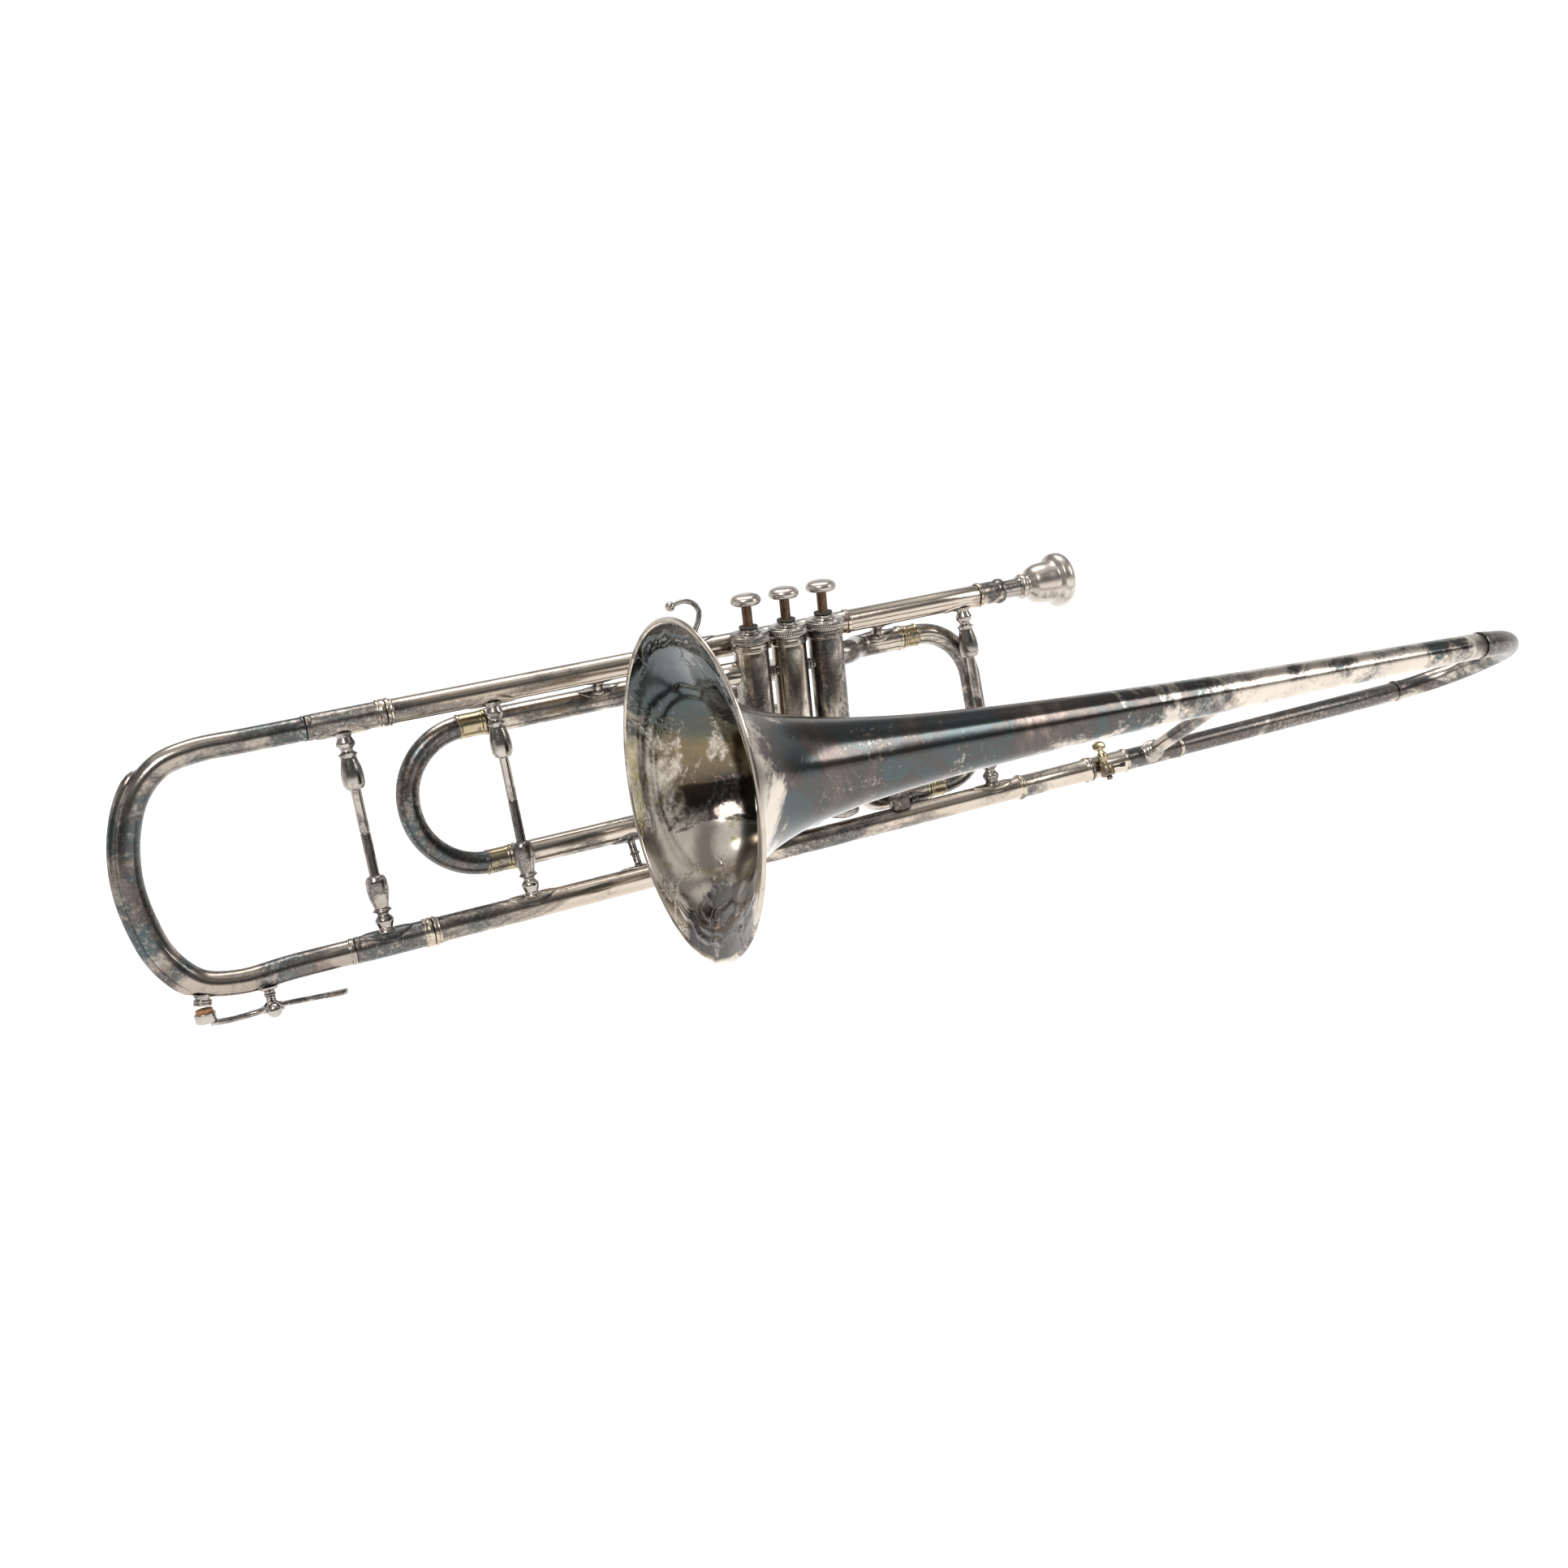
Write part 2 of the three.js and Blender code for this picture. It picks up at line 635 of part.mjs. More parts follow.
// ---- short posts between neighbouring long tubes and slide sleeves
function post(name, x, [y0, z0, r0], [y1, z1, r1]) {
  const start = vector(x, y0, z0);
  const end = vector(x, y1, z1);
  const length = start.distanceTo(end);
  const middle = (r0 + length - r1) / 2;
  const profile = [
    [0, r0 - 2.5], [4.4, r0 - 2.5], [4.4, r0 + 0.5], [2.4, r0 + 1.3], [2.2, middle - 0.8], [3, middle],
    [2.2, middle + 0.8], [2.4, length - r1 - 1.3], [4.4, length - r1 - 0.5], [4.4, length - r1 + 2.5],
    [0, length - r1 + 2.5],
  ];
  const shape = turned(profile, 8, start, end.clone().sub(start).normalize());
  const tubes = [envelope(x - 15, x + 15, r0, y0, z0), envelope(x - 15, x + 15, r1, y1, z1)];
  addPiece(name, largestBody(cut(shape, ...tubes)), TARNISH);
}

const UPPER_LINE = [0, UPPER_Z, UPPER_RADIUS];
post("post_upper_front", -114, UPPER_LINE, [LOOP_Y, THIRD_UPPER_Z, SLEEVE_RADIUS]);
post("post_lower_front", -112, [LOOP_Y, THIRD_LOWER_Z, SLEEVE_RADIUS], [0, 0, FRONT_RADIUS]);
post("post_upper_rear", 72, UPPER_LINE, [LOOP_Y, FIRST_UPPER_Z, SLEEVE_RADIUS]);
post("post_lower_rear", 76, [LOOP_Y, FIRST_LOWER_Z, SLEEVE_RADIUS], [0, REAR_Z, REAR_RADIUS]);

// ---- finger hook on the upper tube
const hookCurve = new THREE.CatmullRomCurve3([
  vector(-63, -1, 153.8), vector(-59, -1, 155), vector(-54, -1, 155.2), vector(-48.6, -1, 152.6),
  vector(-46.4, -1, 147.8), vector(-48, -1, 142), vector(-51, -0.5, 136.5), vector(-52, 0, 130),
]);
const hookLength = hookCurve.getLength();
const hookWire = pipe(hookCurve, [[0, 1.5], [hookLength - 8, 1.6], [hookLength, 2.6]], null, 8, 0.4);
const hookBall = new THREE.SphereGeometry(3, 10, 6);
hookBall.translate(-63.6, -1, 153.6);
addPiece("finger_hook", largestBody(cut(join(hookWire, hookBall), upperEnvelope)));

// ---- main tuning slide: two legs with sleeves, the bow, its guard rail and brace
function slideLeg(name, z, legRadius, bore, sleeveRadius) {
  const inner = FIXED_FRONT_X + LEG_LENGTH_INSIDE;
  const end = FIXED_FRONT_X - GAP;
  addPiece(
    name,
    turnedOnX(
      hollow(
        [
          [sleeveRadius, SLEEVE_FRONT_X], [sleeveRadius, end - 2.4], [sleeveRadius + 0.8, end - 2],
          [sleeveRadius + 0.8, end], [legRadius, end], [legRadius, inner],
        ],
        [[bore, SLEEVE_FRONT_X], [bore, inner]],
      ),
      12, 0, z,
    ),
  );
}

slideLeg("main_slide_leg_upper", UPPER_Z, 6.0, 5.4, 7.2);
slideLeg("main_slide_leg_lower", 0, 6.4, 5.7, 7.6);

const bowCurve = new THREE.CatmullRomCurve3(
  [
    [SLEEVE_FRONT_X - GAP, UPPER_Z], [-312, UPPER_Z], [-340, 124.8], [-357.5, 120.6], [-371, 108.5],
    [-380, 89], [-384, 65], [-382, 42], [-375.5, 20.5], [-362, 4.5], [-343, -0.8], [-315, 0],
    [SLEEVE_FRONT_X - GAP, 0],
  ].map(([x, z]) => vector(x, 0, z)),
  false, "centripetal",
);
const bowLength = bowCurve.getLength();
const bowOutside = [
  [0, BOW_RADIUS + 0.25], [2, BOW_RADIUS + 0.25], [3, BOW_RADIUS - 0.2], [bowLength - 3, BOW_RADIUS + 0.3],
  [bowLength - 2, BOW_RADIUS + 0.7], [bowLength, BOW_RADIUS + 0.7],
];
const bow = pipe(bowCurve, bowOutside, [[0, 5.5], [bowLength, BOW_BORE]], 10, 0.27);
const nipple = rod(vector(NIPPLE_X, 0, 2), vector(NIPPLE_X - 2, 0, NIPPLE_BOTTOM_Z), 4, 10);
const nippleLip = rod(
  vector(NIPPLE_X - 1.3, 0, NIPPLE_BOTTOM_Z + 2.6), vector(NIPPLE_X - 2, 0, NIPPLE_BOTTOM_Z), 5, 10,
);
const nippleBore = rod(vector(NIPPLE_X + 0.6, 0, 6), vector(NIPPLE_X - 2.8, 0, NIPPLE_BOTTOM_Z - 4), 2.2, 8);
const bowBoreSolid = pipe(bowCurve, [[0, 5.6], [bowLength, BOW_BORE + 0.1]], null, 10, 0.27);
const nippleShell = cut(join(nipple, nippleLip), bowBoreSolid);
addPiece("front_bow", largestBody(cut(join(bow, nippleShell), nippleBore)), TARNISH);

const guardPoints = [];
for (let u = 0.295; u < 0.72; u += 0.0415) {
  const tangent = bowCurve.getTangentAt(u);
  const outward = vector(tangent.z, 0, -tangent.x);
  guardPoints.push(bowCurve.getPointAt(u).addScaledVector(outward, GUARD_OFFSET));
}
const guardCurve = new THREE.CatmullRomCurve3(guardPoints, false, "centripetal");
const guardLength = guardCurve.getLength();
const guardRail = pipe(
  guardCurve,
  [
    [0, 1], [7, 3], [14, GUARD_RADIUS],
    [guardLength - 14, GUARD_RADIUS], [guardLength - 7, 3], [guardLength, 1],
  ],
  null, 8, 0.4,
);
const bowEnvelope = pipe(
  bowCurve,
  bowOutside.map(([s, radius]) => [s, radius + GAP]),
  null, 10, 0.27,
);
addPiece("bow_guard", largestBody(cut(guardRail, bowEnvelope)), TARNISH);

brace(
  "brace_front", FRONT_BRACE_X, -1.5, 4.5, 121,
  envelope(-300, -245, 7.2, 0, UPPER_Z), envelope(-300, -245, 7.6, 0, 0),
);

// ---- water key: bracket on the lower leg, lever with its cup, and cork
const [pivotX, , pivotZ] = KEY_PIVOT;
const bracketPost = rod(vector(pivotX, 0, -5), vector(pivotX, 0, pivotZ), 3.2, 12);
const bracketFoot = rod(vector(pivotX, 0, -6), vector(pivotX, 0, -8.8), 5.4, 14);
const bracketPin = rod(vector(pivotX, -5.6, pivotZ), vector(pivotX, 5.6, pivotZ), 1.6, 12);
const pinBall = new THREE.SphereGeometry(4.2, 12, 8);
pinBall.translate(pivotX, -10, pivotZ);
const pinNeck = rod(vector(pivotX, -8, pivotZ), vector(pivotX, -5.4, pivotZ), 1.6, 12);
addPiece(
  "water_key_bracket",
  largestBody(cut(join(bracketPost, bracketFoot, bracketPin, pinNeck, pinBall), bowEnvelope)),
);

const FORK_INNER = 3.6;
const leverShape = new THREE.Shape();
leverShape.moveTo(-33, -2.4);
leverShape.lineTo(-8, -2);
leverShape.lineTo(-5, -5.4);
leverShape.lineTo(5, -5.4);
leverShape.lineTo(8, -2.2);
leverShape.lineTo(24, -3.4);
leverShape.quadraticCurveTo(33, -5.4, 40, 0);
leverShape.quadraticCurveTo(33, 5.4, 24, 3.4);
leverShape.lineTo(8, 2.2);
leverShape.lineTo(5, 5.4);
leverShape.lineTo(-5, 5.4);
leverShape.lineTo(-8, 2);
leverShape.lineTo(-33, 2.4);
const forkHole = new THREE.Path();
forkHole.moveTo(-4.2, -FORK_INNER);
forkHole.lineTo(-4.2, FORK_INNER);
forkHole.lineTo(4.2, FORK_INNER);
forkHole.lineTo(4.2, -FORK_INNER);
leverShape.holes.push(forkHole);
const leverPlate = new THREE.ExtrudeGeometry(leverShape, {
  depth: 1.6,
  bevelEnabled: false,
  curveSegments: 5,
});
leverPlate.translate(pivotX, 0, pivotZ - 0.8);
const cheeks = [-1, 1].map((side) => {
  const inner = side * FORK_INNER;
  return rod(vector(pivotX, inner, pivotZ), vector(pivotX, inner + side * 1.8, pivotZ), 3.6, 14);
});
const padCup = rod(
  vector(NIPPLE_X - 2, 0, NIPPLE_BOTTOM_Z - 10), vector(NIPPLE_X - 2, 0, NIPPLE_BOTTOM_Z - 4), 5.6, 18,
);
const pinHole = rod(vector(pivotX, -6, pivotZ), vector(pivotX, 6, pivotZ), 1.6 + GAP, 12);
addPiece("water_key_lever", largestBody(cut(join(leverPlate, ...cheeks, padCup), pinHole)));
addPiece(
  "water_key_cork",
  rod(
    vector(NIPPLE_X - 2, 0, NIPPLE_BOTTOM_Z - 3.7), vector(NIPPLE_X - 2, 0, NIPPLE_BOTTOM_Z - 1.8), 4.6, 12,
  ),
  0x7a4a2c, 0.95, 0,
);

// ---- mouthpiece
const CUP_RIM_X = 208.6;
addPiece(
  "mouthpiece",
  turnedOnX(
    hollow(
      [
        [5.2, 138], [5.7, RECEIVER_END_X], [5.9, 175.6], [7.8, 176.2], [7.8, 178.6], [6.1, 179.4],
        [9, 182.2], [11.6, 185], [12.9, 189.4], [13.2, 194], [13.5, 198], [16.6, 200.8], [17.4, 204],
        [16.9, 207], [15.6, CUP_RIM_X],
      ],
      [
        [3.8, 138], [3.3, 183], [5.4, 187.6], [10, 194.1], [12.1, 201.1], [12.8, 206.4], [13.6, CUP_RIM_X],
      ],
    ),
    16, 0, UPPER_Z,
  ),
  SILVER, 0.25,
);

// ---- bell section: joint collar and gooseneck, rear bow, bell with its rolled rim, brace, lock screw
// The thumb screw of the bell joint's clamp turns in a drum on the front of the collar.
const SCREW_START = vector(SOCKET_END_X + 7, -14.8, REAR_Z - 7.6);
const SCREW_AXIS = vector(0, 0.32, 0.947).normalize();
const screwDrum = turned(
  hollow([[4.6, 2.7], [4.6, 9.3]], [[1.9, 2.7], [1.9, 9.3]]), 14, SCREW_START, SCREW_AXIS,
);
const gooseneck = turnedOnX(
  hollow(
    [
      [6.0, SOCKET_X + 14], [6.0, SOCKET_END_X + GAP],
      [8.1, SOCKET_END_X + GAP], [8.1, SOCKET_END_X + 2], [7.6, SOCKET_END_X + 2.6],
      [7.6, COLLAR_END_X - 2], [8.1, COLLAR_END_X - 1.6], [8.1, COLLAR_END_X],
      [7.1, COLLAR_END_X + 0.6], [7.1, FERRULE_END_X - 0.6],
      [GOOSENECK_RADIUS - 0.2, FERRULE_END_X], [GOOSENECK_RADIUS + 0.2, GOOSENECK_END_X],
    ],
    [
      [5.3, SOCKET_X + 14], [5.3, SOCKET_END_X], [5.9, FERRULE_END_X], [6.1, GOOSENECK_END_X],
    ],
  ),
  12, 0, REAR_Z,
);
addPiece("gooseneck", join(gooseneck, screwDrum));

function bellRadius(s) {
  return BELL_RADIUS * Math.pow(1 + s / FLARE_LENGTH, -FLARE_POWER);
}

const bellStations = [0, 5, 12, 22, 36, 56, 90, 140, 220, 350, BELL_LENGTH];
const bellOutside = bellStations.map((s) => [bellRadius(s), s]);
const bellInside = bellStations.map((s) => [bellRadius(s) - BELL_WALL * (s < 20 ? 1.6 : 1), s]);
const RIM_STEPS = 5;
const rimProfile = [];
for (let i = 0; i <= RIM_STEPS; i++) {
  const angle = (2 * Math.PI * i) / RIM_STEPS;
  rimProfile.push([BELL_RADIUS - 0.6 + RIM_RADIUS * Math.cos(angle), 0.6 + RIM_RADIUS * Math.sin(angle)]);
}
const bellBody = turned(hollow(bellOutside, bellInside), 28, BELL_MOUTH, BELL_AXIS);
const bellRim = turned(rimProfile, 28, BELL_MOUTH, BELL_AXIS);
addPiece("bell", join(bellBody, bellRim), TARNISH);

const tail = BELL_MOUTH.clone().addScaledVector(BELL_AXIS, BELL_LENGTH + GAP * 2);
const neck = vector(GOOSENECK_END_X + GAP, 0, REAR_Z);
const across = tail.clone().sub(neck);
across.x = 0;
const halfWidth = across.length() / 2;
across.normalize();
const tip = neck.clone().add(tail).multiplyScalar(0.5);
tip.x = GOOSENECK_END_X + REAR_BOW_REACH;
const ROUND = 0.5523;
const rearBowPath = new THREE.CurvePath();
rearBowPath.add(new THREE.CubicBezierCurve3(
  neck,
  neck.clone().addScaledVector(ALONG_X, REAR_BOW_REACH * ROUND),
  tip.clone().addScaledVector(across, -halfWidth * ROUND),
  tip,
));
rearBowPath.add(new THREE.CubicBezierCurve3(
  tip,
  tip.clone().addScaledVector(across, halfWidth * ROUND),
  tail.clone().addScaledVector(BELL_AXIS, (REAR_BOW_REACH + 6) * ROUND),
  tail,
));
const rearBowLength = rearBowPath.getLength();
const tailRadius = bellRadius(BELL_LENGTH);
addPiece(
  "rear_bow",
  pipe(
    rearBowPath,
    [
      [0, GOOSENECK_RADIUS + 0.5], [7, GOOSENECK_RADIUS + 0.5], [7.6, GOOSENECK_RADIUS + 0.2],
      [rearBowLength - 7.6, tailRadius - 0.1], [rearBowLength - 7, tailRadius + 0.3],
      [rearBowLength, tailRadius + 0.3],
    ],
    [[0, 6.1], [rearBowLength, tailRadius - 0.9]], 10, 0.3,
  ),
);

// A straight tubular brace from the gooseneck ferrule to the bell tail.
const BRACE_BELL_X = 252;
const bellPoint = BELL_MOUTH.clone().addScaledVector(BELL_AXIS, BRACE_BELL_X + 6 + 113);
const bracePoint = vector(BRACE_BELL_X, 0, REAR_Z);
const braceLength = bracePoint.distanceTo(bellPoint);
const braceDirection = bellPoint.clone().sub(bracePoint).normalize();
const bellBrace = turned(
  [
    [0, 4], [6.8, 4], [6.8, 8.6], [5.4, 9.2], [6.4, 10.6], [5.4, 12], [4.6, 13], [4.6, braceLength - 19],
    [6.2, braceLength - 17], [6.8, braceLength - 8], [0, braceLength - 8],
  ],
  16, bracePoint, braceDirection,
);
const ferruleEnvelope = envelope(COLLAR_END_X - 20, GOOSENECK_END_X, 7.1, 0, REAR_Z);
const bellEnvelope = turned(
  [[0, 200], ...bellStations.filter((s) => s > 200).map((s) => [bellRadius(s) + GAP, s]), [0, BELL_LENGTH]],
  28, BELL_MOUTH, BELL_AXIS,
);
addPiece("bell_brace", largestBody(cut(bellBrace, ferruleEnvelope, bellEnvelope)));

const screwStem = turned(
  [
    [0, 0], [1.5, 0.2], [2.3, 1.2], [1.5, 2.4], [1.5, 9.6], [3.6, 9.6], [3.6, 10.6], [2.4, 11.2],
    [2.6, 13], [3.7, 16], [2.4, 19], [1.4, 20.6], [1.4, 22], [0, 22],
  ],
  10, SCREW_START, SCREW_AXIS,
);
const wingSection = new THREE.Shape();
wingSection.absellipse(0, 0, 5.4, 3.4, 0, 2 * Math.PI, false);
const wing = new THREE.ExtrudeGeometry(wingSection, { depth: 1.6, bevelEnabled: false, curveSegments: 5 });
wing.translate(0, 0, -0.8);
wing.rotateX(Math.PI / 2);
wing.applyQuaternion(new THREE.Quaternion().setFromUnitVectors(vector(0, 0, 1), SCREW_AXIS));
const wingPlace = SCREW_START.clone().addScaledVector(SCREW_AXIS, 23.6);
wing.translate(wingPlace.x, wingPlace.y, wingPlace.z);
addPiece("lock_screw", join(screwStem, wing), BRASS);

// The left hand holds the horn round the middle casing.
const GRIP_Z = 70;
horn.position.set(-VALVE_X[1], -valveY(GRIP_Z), -GRIP_Z);

export default horn;
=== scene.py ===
"""A tarnished silver-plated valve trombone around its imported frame.

Lengths are in millimetres in the part's working frame: x runs along the tubes with 0 beside the middle valve,
z is 0 on the lower front tube, and the bell hangs on the -y side.
"""

import math

import bmesh
import bpy
from mathutils import Matrix, Vector


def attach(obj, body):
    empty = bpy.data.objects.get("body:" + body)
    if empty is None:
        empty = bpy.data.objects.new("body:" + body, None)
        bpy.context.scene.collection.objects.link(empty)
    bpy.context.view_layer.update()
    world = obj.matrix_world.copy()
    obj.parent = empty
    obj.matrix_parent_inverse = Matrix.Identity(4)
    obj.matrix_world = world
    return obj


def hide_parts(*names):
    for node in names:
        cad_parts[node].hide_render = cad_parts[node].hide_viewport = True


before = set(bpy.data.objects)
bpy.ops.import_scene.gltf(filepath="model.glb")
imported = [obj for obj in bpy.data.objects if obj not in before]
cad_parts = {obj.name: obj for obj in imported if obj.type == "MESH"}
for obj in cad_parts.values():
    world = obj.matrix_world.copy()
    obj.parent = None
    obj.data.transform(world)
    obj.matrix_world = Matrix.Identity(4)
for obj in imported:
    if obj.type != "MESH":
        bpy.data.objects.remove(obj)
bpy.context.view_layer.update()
scene = bpy.context.scene

MM = 0.001
TO_ROW = Vector((0.7, 8.5099, -70.0))
X = Vector((1, 0, 0))
Y = Vector((0, 1, 0))
Z = Vector((0, 0, 1))

UPPER_Z = 125
REAR_Z = -3
VALVE_X = {1: 23.9, 2: -0.7, 3: -25.3}
VALVE_LEAN = math.radians(11.8)
LOOP_Y = 13.5
THIRD_UPPER_Z = 108.5
THIRD_LOWER_Z = 29
FIRST_UPPER_Z = 107.7
FIRST_LOWER_Z = 9.6
THIRD_SLEEVE_X = -182
THIRD_CROOK_X = -234.2
FIRST_CROOK_X = 135.7
TUBE_END_X = -238
SLEEVE_FRONT_X = -281

UPPER_RADIUS = 6.9
LOWER_FRONT_RADIUS = 7.4
LOWER_REAR_RADIUS = 7.05
SLEEVE_RADIUS = 7.3


# ---------------------------------------------------------------- materials
def node_tree(name):
    material = bpy.data.materials.new(name)
    material.use_nodes = True
    tree = material.node_tree
    shader = tree.nodes["Principled BSDF"]
    coordinates = tree.nodes.new("ShaderNodeTexCoord").outputs["Object"]
    return material, tree, shader, coordinates


def noise(tree, where, scale, detail=6.0, roughness=0.6, distortion=0.0, offset=(0, 0, 0), stretch=(1, 1, 1)):
    mapping = tree.nodes.new("ShaderNodeMapping")
    mapping.inputs["Location"].default_value = offset
    mapping.inputs["Scale"].default_value = stretch
    tree.links.new(where, mapping.inputs["Vector"])
    texture = tree.nodes.new("ShaderNodeTexNoise")
    texture.inputs["Scale"].default_value = scale
    texture.inputs["Detail"].default_value = detail
    texture.inputs["Roughness"].default_value = roughness
    texture.inputs["Distortion"].default_value = distortion
    tree.links.new(mapping.outputs["Vector"], texture.inputs["Vector"])
    return texture.outputs["Fac"]


def ramp(tree, value, stops, interpolation="LINEAR"):
    node = tree.nodes.new("ShaderNodeValToRGB")
    node.color_ramp.interpolation = interpolation
    while len(node.color_ramp.elements) < len(stops):
        node.color_ramp.elements.new(0.5)
    for element, (position, colour) in zip(node.color_ramp.elements, stops):
        element.position = position
        element.color = (*colour, 1) if isinstance(colour, tuple) else (colour, colour, colour, 1)
    tree.links.new(value, node.inputs["Fac"])
    return node.outputs["Color"]


def maths(tree, operation, a, b, clamp=False):
    node = tree.nodes.new("ShaderNodeMath")
    node.operation = operation
    node.use_clamp = clamp
    for socket, value in zip(node.inputs, (a, b)):
        if isinstance(value, (int, float)):
            socket.default_value = value
        else:
            tree.links.new(value, socket)
    return node.outputs["Value"]


def mix(tree, amount, a, b, blend="MIX"):
    node = tree.nodes.new("ShaderNodeMix")
    node.data_type = "RGBA"
    node.blend_type = blend
    for socket, value in zip((node.inputs["Factor"], node.inputs["A"], node.inputs["B"]), (amount, a, b)):
        if isinstance(value, tuple):
            socket.default_value = (*value, 1)
        elif isinstance(value, (int, float)):
            socket.default_value = value
        else:
            tree.links.new(value, socket)
    return node.outputs["Result"]


def grain_added(tree, value, grain, amount):
    """A pattern roughened by a finer one that swings round its middle value."""
    return maths(tree, "ADD", value, maths(tree, "MULTIPLY", maths(tree, "SUBTRACT", grain, 0.5), amount))


def roughness_between(tree, shader, value, low, high):
    node = tree.nodes.new("ShaderNodeMapRange")
    node.inputs["To Min"].default_value = low
    node.inputs["To Max"].default_value = high
    tree.links.new(value, node.inputs["Value"])
    tree.links.new(node.outputs["Result"], shader.inputs["Roughness"])


def bump(tree, shader, height, strength, distance=0.0004):
    node = tree.nodes.new("ShaderNodeBump")
    node.inputs["Strength"].default_value = strength
    node.inputs["Distance"].default_value = distance
    tree.links.new(height, node.inputs["Height"])
    tree.links.new(node.outputs["Normal"], shader.inputs["Normal"])


# Colours by position along a ramp, for bare silver and for its tarnish.
PALE = (
    (0.0, (0.34, 0.30, 0.26)), (0.45, (0.48, 0.43, 0.37)), (0.7, (0.57, 0.51, 0.45)), (1.0, (0.42, 0.34,
                                                                                             0.29)),
)
DARK = (
    (0.28, (0.050, 0.058, 0.060)), (0.42, (0.074, 0.084, 0.085)), (0.50, (0.086, 0.080, 0.076)),
    (0.58, (0.120, 0.098, 0.088)), (0.70, (0.200, 0.160, 0.130)),
)


def tarnished(name, cover=0.5, pale=PALE, dark=DARK, patch=26, offset=(0, 0, 0), stretch=(1, 1, 1),
              shine=0.16, dull=0.30, speck=0.22, edge=0.05):
    """Silver plate whose dark tarnish has eaten in from blotches with speckled edges."""
    material, tree, shader, where = node_tree(name)
    shader.inputs["Metallic"].default_value = 1.0
    blotch = noise(tree, where, patch, 9, 0.62, 0.6, offset, stretch)
    grain = noise(tree, where, 420, 5, 0.7, 0, offset)
    fine = noise(tree, where, 1500, 3, 0.6, 0, offset)
    broad = noise(tree, where, patch * 0.35, 2, 0.5, 0.3, (offset[0] + 1, 5, 3), stretch)
    mottled = grain_added(tree, grain_added(tree, blotch, broad, 0.28), grain, speck)
    limit = 1 - cover
    middle = 0.5 + (limit - 0.5) * 0.42
    mask = ramp(tree, mottled, ((middle - edge, 0.0), (middle + edge, 1.0)))
    veil = noise(tree, where, patch * 0.6, 4, 0.55, 0.4, (offset[0] + 3, 7, 1))
    haze = ramp(tree, veil, ((0.35, 0.0), (0.75, 0.75)))
    tint = noise(tree, where, patch * 1.3, 5, 0.6, 0.8, (offset[0] + 5, 2, 9), stretch)
    light = ramp(tree, tint, pale)
    light = mix(tree, haze, light, (0.58, 0.52, 0.48), "MULTIPLY")
    clouds = noise(tree, where, patch * 2.1, 8, 0.7, 0.6, (offset[0] + 11, 4, 2), stretch)
    deep = ramp(tree, grain_added(tree, clouds, grain, 0.2), dark)
    sparse = maths(tree, "ADD", maths(tree, "MULTIPLY", grain, 0.55), maths(tree, "MULTIPLY", blotch, 0.6))
    sparse = maths(tree, "ADD", sparse, maths(tree, "MULTIPLY", fine, 0.2))
    flecks = ramp(tree, sparse, ((0.72, 0.0), (0.80, 0.6)))
    deep = mix(tree, flecks, deep, (0.36, 0.31, 0.27))
    tree.links.new(mix(tree, mask, light, deep), shader.inputs["Base Color"])
    roughness_between(tree, shader, maths(tree, "ADD", mask, maths(tree, "MULTIPLY", fine, 0.25)), shine,
                      dull)
    height = maths(tree, "ADD", maths(tree, "MULTIPLY", mask, -0.5), maths(tree, "MULTIPLY", grain, 0.5))
    wave = noise(tree, where, 60, 2, 0.5, 0, offset)
    bump(tree, shader, maths(tree, "ADD", height, maths(tree, "MULTIPLY", wave, 1.6)), 0.22, 0.0003)
    return material


WARM_PALE = ((0.0, (0.38, 0.33, 0.28)), (0.5, (0.53, 0.47, 0.40)), (1.0, (0.47, 0.38, 0.32)))
BROWN_DARK = (
    (0.28, (0.060, 0.057, 0.055)), (0.44, (0.105, 0.088, 0.078)), (0.54, (0.080, 0.084, 0.083)),
    (0.68, (0.200, 0.155, 0.125)),
)
TEAL_DARK = (
    (0.28, (0.048, 0.060, 0.064)), (0.42, (0.070, 0.086, 0.088)), (0.50, (0.072, 0.070, 0.067)),
    (0.58, (0.112, 0.092, 0.084)), (0.70, (0.190, 0.155, 0.125)),
)
BRASSY = ((0.0, (0.26, 0.21, 0.13)), (0.5, (0.36, 0.30, 0.19)), (1.0, (0.45, 0.40, 0.31)))
RINGED = ((0.0, (0.42, 0.36, 0.28)), (0.5, (0.52, 0.45, 0.36)), (1.0, (0.60, 0.53, 0.46)))

upper_silver = tarnished("silver_upper_tube", 0.34, WARM_PALE, BROWN_DARK, 17, (2, 1, 0), (0.55, 1.6, 1.6))
lower_silver = tarnished("silver_lower_tube", 0.44, WARM_PALE, DARK, 20, (7, 3, 0), (0.6, 1.6, 1.6))
slide_silver = tarnished("silver_slides", 0.54, PALE, BROWN_DARK, 24, (1, 8, 4), (0.7, 1.3, 1.3))
teal_silver = tarnished("silver_crook", 0.62, PALE, TEAL_DARK, 22, (4, 5, 6))
bow_silver = tarnished("silver_front_bow", 0.60, ((0.0, (0.27, 0.24, 0.21)), (1.0, (0.42, 0.37, 0.32))),
                       TEAL_DARK, 24, (9, 2, 1), dull=0.26)
casing_silver = tarnished("silver_casings", 0.50, PALE, DARK, 30, (3, 3, 8), (1.6, 1.6, 0.6))
GREYED = ((0.0, (0.26, 0.24, 0.22)), (0.5, (0.38, 0.35, 0.32)), (1.0, (0.47, 0.43, 0.39)))
fitting_silver = tarnished("silver_fittings", 0.42, GREYED, BROWN_DARK, 60, (6, 1, 3), shine=0.14, speck=0.3)
post_silver = tarnished("silver_posts", 0.66, PALE, BROWN_DARK, 70, (8, 8, 3), shine=0.2, speck=0.3)
